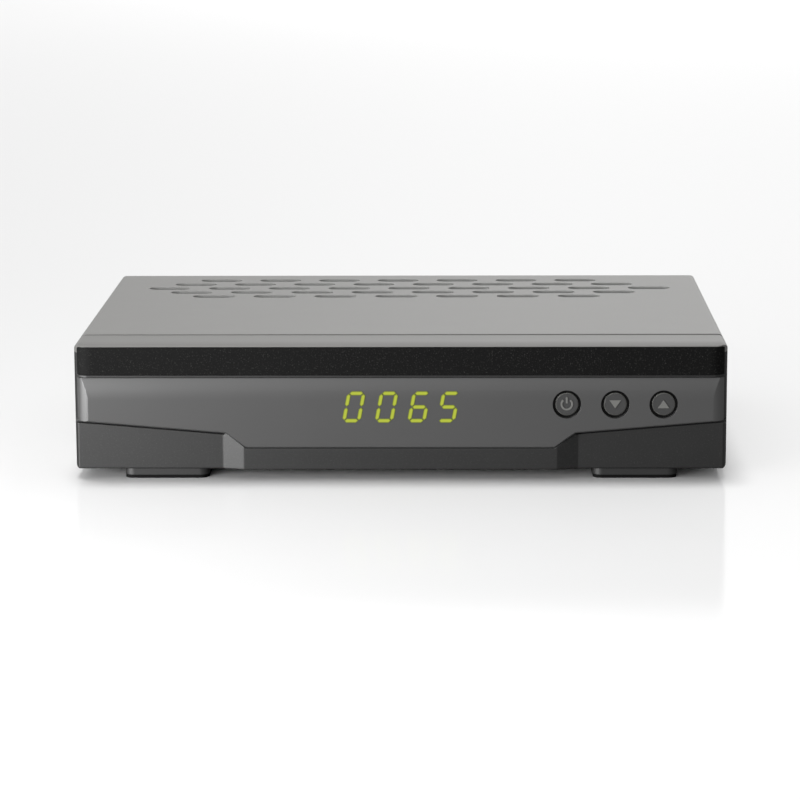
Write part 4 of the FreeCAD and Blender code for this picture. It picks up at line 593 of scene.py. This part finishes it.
# Diffusing polycarbonate windows in front of diodes: they glow yellow-green.
DIODE_WINDOWS = LitFinish("diffusing_polycarbonate_windows", "#20230c", 0.4)
# Light of the diodes at the face of the panel: brightest in the middle of each bar.
PANEL_LIGHT = LitFinish("diode_light_in_smoked_acrylic", "#14160a", 0.3)
# Dyed polycarbonate that only lets infrared through: near black with a violet gloss.
EYE_POLYCARBONATE = Finish("infrared_polycarbonate", "#1a0f1e", 0.12)
# Glass-filled nylon: black, slightly mottled by the fibres.
BLACK_NYLON = Finish("glass_filled_black_nylon", "#151515", 0.5, grain_mm=0.5, depth_mm=0.01, mottle=0.15,
                     edge_mm=0.12)
# Natural nylon: off-white and soft.
WHITE_NYLON = Finish("natural_nylon", "#d6d2c4", 0.5, grain_mm=0.6, edge_mm=0.1)
# Nylon housings of the switches: black with a low gloss.
SWITCH_NYLON = Finish("moulded_switch_nylon", "#1e1e1e", 0.45, grain_mm=0.3)
# Acetal plungers, dyed: brick red and waxy.
PLUNGER_ACETAL = Finish("dyed_acetal_plungers", "#8c2a1c", 0.35, grain_mm=0.3)
# Tin plate, rolled: a soft bright metal with faint lines along the sheet.
TIN_PLATE = Finish("rolled_tin_plate", "#b4b4ae", 0.3, metallic=1.0, grain=Grain.BRUSHED, grain_mm=0.3,
                   depth_mm=0.002, edge_mm=0.2)
# Nickel on turned brass: bright, slightly warm, with fine tool marks.
NICKEL = Finish("nickel_plated_brass", "#c6c1b6", 0.2, metallic=1.0, grain_mm=0.3, depth_mm=0.001,
                mottle=0.02, edge_mm=0.1)
# Turned brass, bare: warm yellow metal with fine tool marks.
BRASS = Finish("turned_brass", "#b98f45", 0.3, metallic=1.0, grain_mm=0.25, depth_mm=0.002, edge_mm=0.1)
# Dyed nylon in the digital audio socket: orange, as such sockets are marked.
AUDIO_INSULATOR = Finish("dyed_orange_nylon", "#c8641c", 0.4, grain_mm=0.4)
# Zinc-plated steel screws: cool grey with a dull shine.
ZINC_STEEL = Finish("zinc_plated_screw_steel", "#9c9fa3", 0.34, metallic=1.0, grain_mm=0.3, depth_mm=0.002,
                    patchy=0.08, edge_mm=0.1)
# Extruded aluminium, anodised: matt metal with lines along the extrusion.
ALUMINIUM = Finish("anodised_aluminium_extrusion", "#8e9196", 0.4, metallic=1.0, grain=Grain.BRUSHED,
                   grain_mm=0.25, depth_mm=0.003)
# Filled silicone rubber between the processor and its heatsink: pale blue and dull.
SILICONE = Finish("filled_silicone_pad", "#7d90ad", 0.7, grain_mm=0.4)
# Lacquered ferrite: near black and dull, with a sandy skin.
FERRITE = Finish("lacquered_ferrite", "#2c2c2f", 0.55, grain=Grain.SPARK, grain_mm=0.4, depth_mm=0.02)
# PVC sleeve shrunk onto the capacitors: dark blue and glossy, without print.
SLEEVE = Finish("shrunk_pvc_sleeve", "#161c3c", 0.25, grain_mm=1.0, depth_mm=0.01)
# PVC ribbon: grey, with a round rib for each wire.
RIBBON = Finish("ribbed_pvc_ribbon", "#86868a", 0.45, grain=Grain.RIBBED, grain_mm=1.0, depth_mm=0.2)
# Polypropylene feet: dark grey, soft gloss, with light edges.
FOOT_PLASTIC = Finish("moulded_polypropylene_feet", "#383838", 0.45, grain_mm=0.5, depth_mm=0.006,
                      edge_mm=0.2, specular=0.3)
# Nitrile rubber pads stuck under the feet: black, without any gloss.
FOOT_RUBBER = Finish("moulded_nitrile_rubber", "#040404", 0.85, grain=Grain.SPARK, grain_mm=0.4,
                     depth_mm=0.01, specular=0.15)


def dress(piece: Object, finish: Finish, made: dict[str, Material]) -> None:
    """Give an object one finish all over.

    Args:
        piece: The object.
        finish: Its finish.
        made: Materials that are made already, by name.
    """
    if finish.name not in made:
        made[finish.name] = finish.material()
    if not piece.data.materials:
        piece.data.materials.append(made[finish.name])
    for slot in piece.material_slots:
        slot.material = made[finish.name]


# ------------------------------------------------------------------------------------ sub-assemblies

@dataclass
class Assembly:
    """A group of pieces that is built and dressed together.

    Attributes:
        made: Materials that are made already, by name, shared by all groups.
        names: Names of the pieces that the group has dressed.
    """

    made: dict[str, Material]
    names: list[str] = field(default_factory=list)

    def solids(self) -> dict[str, Finish]:
        """Solids of the frame that stay as they are, with the finish of each."""
        return {}

    def build(self) -> None:
        """Model the pieces that the group adds, if it has any."""

    def finish_piece(self, piece: Object, finish: Finish, body: str, slot: str,
                     *replaced: str) -> None:
        """Dress a new piece, hang it on its body and hide the solids that it stands for.

        Args:
            piece: The new piece.
            finish: Its finish.
            body: The body that it rides on.
            slot: Name of a material slot; not used.
            *replaced: The solids that it stands for.
        """
        dress(piece, finish, self.made)
        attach(piece, body)
        if replaced:
            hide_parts(*replaced)
        self.names.append(piece.name)

    def run(self, nodes: dict[str, Object]) -> None:
        """Build the new pieces, dress the solids and report both.

        Args:
            nodes: The solids of the frame by name.
        """
        self.build()
        for name, finish in self.solids().items():
            dress(nodes[name], finish, self.made)
            self.names.append(name)
        for name in self.names:
            LOG.info("%s: %s", type(self).__name__, name)


@dataclass
class Case(Assembly):
    """Painted cover, galvanised chassis, moulded front, feet and the screws that hold them."""

    def solids(self) -> dict[str, Finish]:
        """Solids of the case, with the finish of each."""
        ends = [f"{row}_{side}" for row in ("front", "rear") for side in ("left", "right")]
        return {
            "top_cover": COVER_PAINT, "bottom_chassis": GALVANISED, "front_bezel": BEZEL_ABS,
            "trim_band": BAND_ABS, "display_panel": PANEL_ACRYLIC,
            **{f"foot_{end}": FOOT_PLASTIC for end in ends},
            **{f"foot_pad_{end}": FOOT_RUBBER for end in ends},
            **{f"{place}_screws": ZINC_STEEL for place in ("bezel", "cover", "scart", "front_board",
                                                           "main_board")},
        }


@dataclass
class Display(Assembly):
    """Display module behind the panel and the reading that its light makes at the panel's face.

    Attributes:
        reading: The number that is lit.
        across: Middle of each figure, in millimetres to the right.
        up: Middle of the figures, in millimetres.
        size: Width and height of a figure between the middles of its bars, in millimetres.
        bar: Width of a bar in millimetres.
        gap: Bar end to the corner of a figure, in millimetres.
        slant: Lean of the figures, across per up.
        back: Front and rear of the lit layer, in millimetres behind the front of the band.
        rim: Width of the darker rim of a bar, in millimetres.
    """

    reading: str = "0065"
    across: tuple[float, ...] = (-14.13, -4.15, 5.8, 14.8)
    up: float = 22.8
    size: tuple[float, float] = (4.5, 8.5)
    bar: float = 1.3
    gap: float = 0.1
    slant: float = 0.19
    back: tuple[float, float] = (0.02, 0.12)
    rim: float = 0.35

    # Lit bars of each digit by their usual letters, clockwise from the top, with "g" in the middle.
    LIT = {"0": "abcdef", "5": "acdfg", "6": "acdefg"}
    # Degrees above which an edge of a bar stays sharp.
    BAR_ANGLE = 20.0

    def solids(self) -> dict[str, Finish]:
        """Solids of the display and of the front board, with the finish of each."""
        return {
            "display_module": DISPLAY_ABS, "display_segments": DIODE_WINDOWS,
            "remote_control_eye": EYE_POLYCARBONATE, "display_driver_chip": BLACK_NYLON,
            "front_board": LAMINATE, "front_ribbon_connector": WHITE_NYLON,
        }

    def bar_shape(self, length: float) -> Object:
        """Model a bar with pointed ends that lies along X and faces the front.

        Args:
            length: Length from point to point, in millimetres.

        Returns:
            The bar, with its middle at the origin and its rim marked as unlit.
        """
        deselect()
        depth = (self.back[1] - self.back[0]) * MM
        tip = self.bar * MM / math.sqrt(3)
        bpy.ops.mesh.primitive_cylinder_add(vertices=6, radius=tip, depth=depth,
                                            rotation=(math.pi / 2, 0, 0))
        bar = bpy.context.object
        bpy.ops.object.transform_apply()
        shift(bar, turn=(0, math.pi / 2, 0))
        # The hexagon has its shoulders at half a tip and its points at a whole one.
        between = 0.75 * tip
        half = length * MM / 2
        shoulder = half - self.bar * MM / 2
        for side in (-1, 1):
            edit(bar, Part.POINTS, lambda point: point.co.x * side > between)
            bpy.ops.transform.translate(value=(side * (half - tip), 0, 0))
            edit(bar, Part.POINTS, lambda point: 0 < point.co.x * side < between)
            bpy.ops.transform.translate(value=(side * (shoulder - tip / 2), 0, 0))
        edit(bar, Part.FACES, lambda face: face.normal.y < -ALONG)
        bpy.ops.mesh.inset(thickness=self.rim * MM, use_even_offset=True)
        bpy.ops.object.mode_set(mode="OBJECT")
        glow = bar.data.attributes.new(GLOW, "FLOAT", "POINT")
        glow.data.foreach_set("value", [float(point.select) for point in bar.data.vertices])
        return bar

    def figure(self, digit: str, number: int) -> Object:
        """Model the lit bars of one figure.

        Args:
            digit: The digit that is lit.
            number: Its place from the left, from 0.

        Returns:
            The figure in its place.
        """
        wide, high = self.size
        places = {
            "a": (0, high / 2, False), "g": (0, 0, False), "d": (0, -high / 2, False),
            "f": (-wide / 2, high / 4, True), "b": (wide / 2, high / 4, True),
            "e": (-wide / 2, -high / 4, True), "c": (wide / 2, -high / 4, True),
        }
        lying, standing = self.bar_shape(wide - 2 * self.gap), self.bar_shape(high / 2 - 2 * self.gap)
        shift(standing, turn=(0, math.pi / 2, 0))
        bars = []
        for name in self.LIT[digit]:
            across, up, upright = places[name]
            source = standing if upright else lying
            select(source)
            bpy.ops.object.duplicate(linked=False)
            bars.append(shift(bpy.context.object, (across * MM, 0, up * MM)))
        figure = join(f"lit_figure_{number + 1}", bars)
        for source in (lying, standing):
            bpy.data.objects.remove(source)
        lean = Matrix.Identity(4)
        lean[0][2] = self.slant
        figure.data.transform(lean)
        shift(figure, at(self.across[number], sum(self.back) / 2, self.up))
        return settle(figure, self.BAR_ANGLE)

    def build(self) -> None:
        """Model the figures of the reading."""
        for number, digit in enumerate(self.reading):
            figure = self.figure(digit, number)
            self.finish_piece(figure, PANEL_LIGHT, "case", "display_light")


@dataclass
class Buttons(Assembly):
    """Three push buttons and the switches behind them."""

    def solids(self) -> dict[str, Finish]:
        """Solids of the buttons and switches, with the finish of each."""
        kinds = ("power", "channel_down", "channel_up")
        return {
            **{f"{kind}_button": CAP_ABS for kind in kinds},
            **{f"{kind}_switch_body": SWITCH_NYLON for kind in kinds},
            **{f"{kind}_switch_plunger": PLUNGER_ACETAL for kind in kinds},
        }


@dataclass
class RearSockets(Assembly):
    """Sockets of the rear panel, with modelled threads on the aerial sockets.

    Attributes:
        thread_radius: Outside of the thread in millimetres.
        thread_pitch: One turn to the next, in millimetres (32 turns per inch).
        thread_depth: Depth of the thread in millimetres.
        shank: Length of the plain end under the thread, in millimetres.
        shoulder: Length of the aerial socket's wide end, inside the chassis, in millimetres.
        bore: Radius of the aerial socket's bore in millimetres.
        bore_depth: Depth of that bore in millimetres.
        sides: Sides of the round pieces.
        ring_radius: Outside of the digital audio socket's ring in millimetres.
        ring_wall: Thickness of that ring in millimetres.
        collar_radius: Collar of that socket in the rear panel, in millimetres.
        collar_back: Front and rear of that collar, in millimetres behind the front of the band.
        insulator_bore: Hole of that socket's insulator, in millimetres.
        insulator_sunk: Depth of the insulator in the ring's mouth, in millimetres.
        insulator_length: Length of the insulator in millimetres.
    """

    thread_radius: float = 4.75
    thread_pitch: float = 25.4 / 32
    thread_depth: float = 0.42
    shank: float = 0.8
    shoulder: float = 2.0
    bore: float = 3.4
    bore_depth: float = 9.0
    sides: int = 48
    ring_radius: float = 4.15
    ring_wall: float = 0.75
    collar_radius: float = 4.4
    collar_back: tuple[float, float] = (138.4, 139.5)
    insulator_bore: float = 1.7
    insulator_sunk: float = 0.35
    insulator_length: float = 1.0

    # Depth in millimetres by which the thread's teeth are sunk into the core, and their share of a pitch.
    TOOTH_SUNK = 0.05
    TOOTH_SHARE = 0.92
    # Thickness of the insulator behind its hole, in millimetres.
    INSULATOR_FLOOR = 0.1
    # Widths of bevels in millimetres.
    MOUTH_BEVEL = 0.25
    SHOULDER_BEVEL = 0.3
    RING_BEVEL = 0.2
    COLLAR_BEVEL = 0.1
    INSULATOR_BEVEL = 0.15
    HOUSING_BEVEL = 0.4

    def solids(self) -> dict[str, Finish]:
        """Solids of the rear sockets, with the finish of each."""
        return {
            "aerial_socket_insulators": WHITE_NYLON, "aerial_socket_washers": ZINC_STEEL,
            "aerial_socket_nuts": NICKEL, "hdmi_shell": NICKEL, "hdmi_tongue": BLACK_NYLON,
            "usb_shell": NICKEL, "usb_tongue": WHITE_NYLON, "scart_socket": BLACK_NYLON,
            "power_jack": BLACK_NYLON, "power_jack_pin": NICKEL,
        }

    def rod(self, start: Vector, end: Vector, radius: float, bevel: float = 0.0) -> Object:
        """Model a round rod along +Y.

        Args:
            start: Middle of its near end.
            end: Middle of its far end.
            radius: Its radius in millimetres.
            bevel: Width of the bevels at its ends in millimetres, 0 for a bare rod to model on.

        Returns:
            The rod, shaded if it has bevels.
        """
        deselect()
        bpy.ops.mesh.primitive_cylinder_add(vertices=self.sides, radius=radius * MM,
                                            depth=(end - start).length, location=(start + end) / 2,
                                            rotation=(-math.pi / 2, 0, 0))
        bpy.ops.object.transform_apply()
        rod = bpy.context.object
        if bevel:
            modify(rod, "BEVEL", width=bevel * MM, segments=2, limit_method="ANGLE")
            settle(rod, ROUND_ANGLE)
        return rod

    def barrel(self, start: Vector, end: Vector, radius: float, bore: float, depth: float,
               bevel: float) -> Object:
        """Model a round barrel along +Y with a blind bore in its far end.

        Args:
            start: Middle of its near end.
            end: Middle of its far end.
            radius: Its radius in millimetres.
            bore: Radius of the bore in millimetres.
            depth: Depth of the bore in millimetres.
            bevel: Width of the bevels at the mouth in millimetres.

        Returns:
            The barrel, shaded.
        """
        barrel = self.rod(start, end, radius)
        edit(barrel, Part.FACES, lambda face: face.normal.y > ALONG)
        bpy.ops.mesh.inset(thickness=radius * MM - bore * MM, use_even_offset=True)
        bpy.ops.mesh.extrude_region_move(TRANSFORM_OT_translate={"value": (0, -depth * MM, 0)})
        mouth = end.y - NEAR
        edit(barrel, Part.EDGES, lambda one, two: one.y > mouth and two.y > mouth)
        bpy.ops.mesh.bevel(offset=bevel * MM, segments=2)
        bpy.ops.object.mode_set(mode="OBJECT")
        return settle(barrel, ROUND_ANGLE)

    def thread(self, start: Vector, length: float) -> Object:
        """Model a screw thread along +Y as a coil with a pointed section.

        Args:
            start: Middle of the thread's near end.
            length: Its length in metres.

        Returns:
            The coil, closed at both of its ends and shaded.
        """
        deselect()
        pitch = self.thread_pitch * MM
        high = (self.thread_depth + self.TOOTH_SUNK) * MM
        tip = self.thread_radius * MM
        # A circle with three points is a tooth: 1.5 high and the root of 3 wide for a radius of 1.
        bpy.ops.mesh.primitive_circle_add(vertices=3, radius=1, location=(tip - high / 1.5, 0, 0),
                                          rotation=(math.pi / 2, -math.pi / 2, math.pi))
        tooth = bpy.context.object
        tooth.scale = (self.TOOTH_SHARE * pitch / math.sqrt(3), high / 1.5, 1)
        bpy.ops.object.transform_apply()
        turns = max(1, int(length / pitch))
        modify(tooth, "SCREW", axis="Z", angle=math.tau * turns, steps=self.sides * turns,
               render_steps=self.sides * turns, screw_offset=pitch * turns, use_merge_vertices=False)
        edit(tooth, Part.POINTS, lambda point: False)
        bpy.ops.mesh.select_non_manifold()
        bpy.ops.mesh.fill_holes(sides=0)
        bpy.ops.object.mode_set(mode="OBJECT")
        shift(tooth, start + Vector((0, pitch / 2, 0)), (-math.pi / 2, 0, 0))
        return settle(tooth, ROUND_ANGLE)

    def aerial_socket(self, node: str) -> None:
        """Model one threaded aerial socket in the place of its solid.

        Args:
            node: Name of the solid.
        """
        low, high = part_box(node)
        middle = (low + high) / 2
        start, end = Vector((middle.x, low.y, middle.z)), Vector((middle.x, high.y, middle.z))
        barrel = self.barrel(start, end, self.thread_radius - self.thread_depth, self.bore, self.bore_depth,
                             self.MOUTH_BEVEL)
        coil_start = start + Vector((0, self.shoulder * MM, 0))
        shoulder = self.rod(start, coil_start, (high.x - low.x) / 2 / MM, self.SHOULDER_BEVEL)
        coil = self.thread(coil_start, (end - coil_start).length - self.shank * MM)
        socket = join(f"{node}_threaded", [barrel, shoulder, coil])
        self.finish_piece(socket, NICKEL, "case", "nickel_plate", node)

    def audio_socket(self) -> None:
        """Model the digital audio socket: a metal ring around a coloured insulator with a round hole."""
        low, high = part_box("digital_audio_socket")
        half = (high.x - low.x) / 2
        across, up = low.x + half, high.z - half
        panel, collar_end = [at(0, back, 0).y for back in self.collar_back]
        mouth = high.y - self.insulator_sunk * MM
        hole = self.ring_radius - self.ring_wall

        def along(back: float) -> Vector:
            """Place on the socket's axis."""
            return Vector((across, back, up))

        ring = self.barrel(along(panel), along(high.y), self.ring_radius, hole,
                           self.insulator_sunk + self.insulator_length, self.RING_BEVEL)
        collar = self.rod(along(panel), along(collar_end), self.collar_radius, self.COLLAR_BEVEL)
        self.finish_piece(join("digital_audio_ring", [ring, collar]), NICKEL, "case", "nickel_plate",
                          "digital_audio_socket")
        core = self.barrel(along(mouth - self.insulator_length * MM), along(mouth), hole,
                           self.insulator_bore, self.insulator_length - self.INSULATOR_FLOOR,
                           self.INSULATOR_BEVEL)
        core.name = "digital_audio_insulator"
        self.finish_piece(core, AUDIO_INSULATOR, "case", "black_component_plastic")
        deselect()
        middle = (across, (low.y + panel) / 2, (low.z + high.z) / 2)
        bpy.ops.mesh.primitive_cube_add(size=1, location=middle)
        block = bpy.context.object
        block.scale = (2 * half, panel - low.y, high.z - low.z)
        block.name = "digital_audio_housing"
        bpy.ops.object.transform_apply()
        modify(block, "BEVEL", width=self.HOUSING_BEVEL * MM, segments=2, limit_method="ANGLE")
        self.finish_piece(settle(block), BLACK_NYLON, "case", "black_component_plastic")

    def build(self) -> None:
        """Model the threaded aerial sockets and the digital audio socket."""
        for node in ("aerial_input_socket", "aerial_output_socket"):
            self.aerial_socket(node)
        self.audio_socket()


@dataclass
class MainBoard(Assembly):
    """Main board, what stands on it, and the ribbon to the front board."""

    def solids(self) -> dict[str, Finish]:
        """Solids of the main board, with the finish of each."""
        return {
            "main_board": LAMINATE, "board_standoffs": BRASS, "tuner_can": TIN_PLATE,
            "processor_chip": BLACK_NYLON, "thermal_pad": SILICONE, "heatsink": ALUMINIUM,
            "memory_chip": BLACK_NYLON, "power_inductor": FERRITE, "input_capacitor": SLEEVE,
            "aerial_supply_capacitor": SLEEVE, "clock_crystal": NICKEL, "ribbon_cable": RIBBON,
            "main_ribbon_connector": WHITE_NYLON,
        }


# ------------------------------------------------------------------------------------------- studio

def hold(data: Light | Camera, aim: Vector) -> Object:
    """Put a lamp or the camera into the scene.

    Args:
        data: The lamp's or camera's data.
        aim: Direction in which it points.

    Returns:
        The object that holds it, at the origin.
    """
    holder = bpy.data.objects.new(data.name, data)
    bpy.context.scene.collection.objects.link(holder)
    holder.rotation_euler = aim.to_track_quat("-Z", "Y").to_euler()
    return holder


@dataclass(frozen=True)
class Lamp:
    """A soft rectangular lamp.

    Attributes:
        name: What it does.
        place: Where it stands, in metres.
        target: What it points at, in metres.
        size: Its two sides in metres.
        power: Its power in watts.
        gloss_only: Whether it only shows as gloss, flagged off from matt surfaces.
    """

    name: str
    place: tuple[float, float, float]
    target: tuple[float, float, float]
    size: tuple[float, float]
    power: float
    gloss_only: bool = False

    def hang(self) -> None:
        """Add the lamp to the scene."""
        light = bpy.data.lights.new(self.name, "AREA")
        light.shape = "RECTANGLE"
        light.size, light.size_y = self.size
        light.energy = self.power
        lamp = hold(light, Vector(self.target) - Vector(self.place))
        lamp.location = self.place
        lamp.visible_diffuse = not self.gloss_only


@dataclass(frozen=True)
class Card:
    """A lit upright card that glossy surfaces mirror.

    Attributes:
        name: Its name.
        across: Left and right side in metres.
        back: Distance behind the middle of the object in metres.
        up: Lower and upper edge in metres.
        levels: Its brightness at the left and at the right, 1 for white.
        ramp: Across where its brightness starts and ends to change, in metres.
    """

    name: str
    across: tuple[float, float]
    back: float
    up: tuple[float, float]
    levels: tuple[float, float]
    ramp: tuple[float, float]

    def stand(self) -> None:
        """Stand the card in the studio, where it keeps no light from the floor."""
        deselect()
        (left, right), (low, high) = self.across, self.up
        bpy.ops.mesh.primitive_plane_add(size=1, location=((left + right) / 2, self.back, (low + high) / 2),
                                         rotation=(math.pi / 2, 0, 0))
        card = bpy.context.object
        card.name = self.name
        card.scale = (right - left, high - low, 1)
        bpy.ops.object.transform_apply()
        material = bpy.data.materials.new(f"{self.name}_light")
        tree = blank(material)
        place = add(tree, "ShaderNodeSeparateXYZ", None,
                    {0: add(tree, "ShaderNodeTexCoord").outputs["Object"]})
        ramp = {"interpolation_type": "SMOOTHSTEP", "From Min": self.ramp[0], "From Max": self.ramp[1],
                "To Min": self.levels[0], "To Max": self.levels[1]}
        rise = add(tree, "ShaderNodeMapRange", ramp, {"Value": place.outputs["X"]})
        glow = add(tree, "ShaderNodeEmission", {"Color": linear("#ffffff")}, {"Strength": rise.outputs[0]})
        add(tree, "ShaderNodeOutputMaterial", None, {"Surface": glow.outputs[0]})
        card.data.materials.append(material)
        card.visible_shadow = False


@dataclass
class Studio:
    """Pale floor, soft light and camera.

    Attributes:
        floor_side: Side of the square floor in metres.
        paper: sRGB colour of the floor as the camera sees it.
        floor_bounce: sRGB colour of the floor as the object's matt surfaces see it.
        floor_mirror: Share of the floor's look that is a mirror image.
        floor_blur: Roughness of that mirror image.
        surround: Level of the light from all around.
        sun_level: Level of the broad light from above, 1 to show a level colour as it is written.
        sun_from: Direction that light comes from.
        sun_spread: Width of that light in degrees.
        cards: Lit cards, a wide one behind the object and one in front of it that is brighter on its left.
        camera_place: Camera in metres.
        camera_turn: Yaw, pitch and roll in degrees.
        lens: Focal length in millimetres.
        lamps: Lamps in front of the object, to its left.
    """

    floor_side: float = 12.0
    paper: str = "#f5f5f5"
    floor_bounce: str = "#7c7c7c"
    floor_mirror: float = 0.115
    floor_blur: float = 0.12
    surround: float = 0.4
    sun_level: float = 0.505
    sun_from: tuple[float, float, float] = (-0.06, 0.17, 1.0)
    sun_spread: float = 20.0
    cards: tuple[Card, ...] = (
        Card("rear_card", (-2.5, 2.9), 2.6, (0.0, 1.6), (0.6, 1.27), (-0.75, 0.25)),
        Card("front_card", (-2.2, 1.6), -2.6, (0.35, 1.3), (2.6, 0.42), (-0.05, 0.32)),
    )
    camera_place: tuple[float, float, float] = (0.0188, -1.0037, 0.2031)
    camera_turn: tuple[float, float, float] = (-1.16, 10.85, -0.25)
    lens: float = 139.5
    lamps: tuple[Lamp, ...] = (
        Lamp("front_left_softbox", (-0.28, -0.35, 0.06), (-0.02, -0.07, 0.02), (0.32, 0.1), 1.2),
        Lamp("low_sheen_strip", (-0.4, -0.33, 0.018), (-0.05, -0.07, 0.015), (0.4, 0.03), 3.6, True),
    )

    # Width of the camera's sensor in millimetres, and how far the camera sees, in metres.
    SENSOR_MM = 36.0
    SIGHT = 50.0

    def lay_floor(self) -> None:
        """Lay a floor of glossy white acrylic that shows the object's shadow and a soft mirror image."""
        deselect()
        bpy.ops.mesh.primitive_plane_add(size=self.floor_side)
        floor = bpy.context.object
        floor.name = "studio_floor"
        material = bpy.data.materials.new("glossy_white_acrylic_sheet")
        tree = blank(material)
        matt = add(tree, "ShaderNodeBsdfDiffuse", {"Color": linear(self.paper)})
        gloss = add(tree, "ShaderNodeBsdfGlossy",
                    {"Color": linear("#ffffff"), "Roughness": self.floor_blur})
        seen = add(tree, "ShaderNodeMixShader", {0: self.floor_mirror},
                   {1: matt.outputs[0], 2: gloss.outputs[0]})
        bounce = add(tree, "ShaderNodeBsdfDiffuse", {"Color": linear(self.floor_bounce)})
        path = add(tree, "ShaderNodeLightPath")
        both = add(tree, "ShaderNodeMixShader", None,
                   {0: path.outputs["Is Camera Ray"], 1: bounce.outputs[0], 2: seen.outputs[0]})
        add(tree, "ShaderNodeOutputMaterial", None, {"Surface": both.outputs[0]})
        floor.data.materials.append(material)

    def light(self) -> None:
        """Light the set: a dim surround, a broad light from above and the lamps."""
        world = bpy.data.worlds.new("studio")
        bpy.context.scene.world = world
        tree = blank(world)
        path = add(tree, "ShaderNodeLightPath")
        dim = add(tree, "ShaderNodeBackground", {"Color": linear("#ffffff"), "Strength": self.surround})
        pale = add(tree, "ShaderNodeBackground", {"Color": linear(self.paper), "Strength": 1.0})
        both = add(tree, "ShaderNodeMixShader", None,
                   {0: path.outputs["Is Camera Ray"], 1: dim.outputs[0], 2: pale.outputs[0]})
        add(tree, "ShaderNodeOutputWorld", None, {"Surface": both.outputs[0]})
        source = Vector(self.sun_from).normalized()
        sun = bpy.data.lights.new("broad_light_from_above", "SUN")
        sun.energy = math.pi * self.sun_level / source.z
        sun.angle = math.radians(self.sun_spread)
        hold(sun, -source)
        for lamp in self.lamps:
            lamp.hang()

    def set_camera(self) -> None:
        """Set up the camera in front of the object, a little to the right and above."""
        yaw, pitch, roll = [math.radians(turn) for turn in self.camera_turn]
        ahead = Vector((math.sin(yaw) * math.cos(pitch), math.cos(yaw) * math.cos(pitch), -math.sin(pitch)))
        right = Vector((math.cos(yaw), -math.sin(yaw), 0))
        up = right.cross(ahead)
        side = right * math.cos(roll) + up * math.sin(roll)
        top = up * math.cos(roll) - right * math.sin(roll)
        camera = bpy.data.cameras.new("camera")
        camera.lens = self.lens
        camera.sensor_width = self.SENSOR_MM
        camera.clip_end = self.SIGHT
        holder = hold(camera, ahead)
        holder.matrix_world = Matrix.Translation(self.camera_place) @ Matrix(
            (side, top, -ahead)).transposed().to_4x4()
        bpy.context.scene.camera = holder

    def set_up(self) -> None:
        """Lay the floor, light the set and set up the camera."""
        bpy.context.scene.view_settings.view_transform = "Standard"
        self.lay_floor()
        self.light()
        for card in self.cards:
            card.stand()
        self.set_camera()


def main() -> None:
    """Dress the frame, model the pieces it lacks and set up the studio."""
    logging.basicConfig(level=logging.INFO, format="%(message)s")
    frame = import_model()
    made: dict[str, Material] = {}
    for assembly in (Case(made), Display(made), Buttons(made), RearSockets(made), MainBoard(made)):
        assembly.run(frame["nodes"])
    Studio().set_up()


if __name__ == "__main__":
    main()
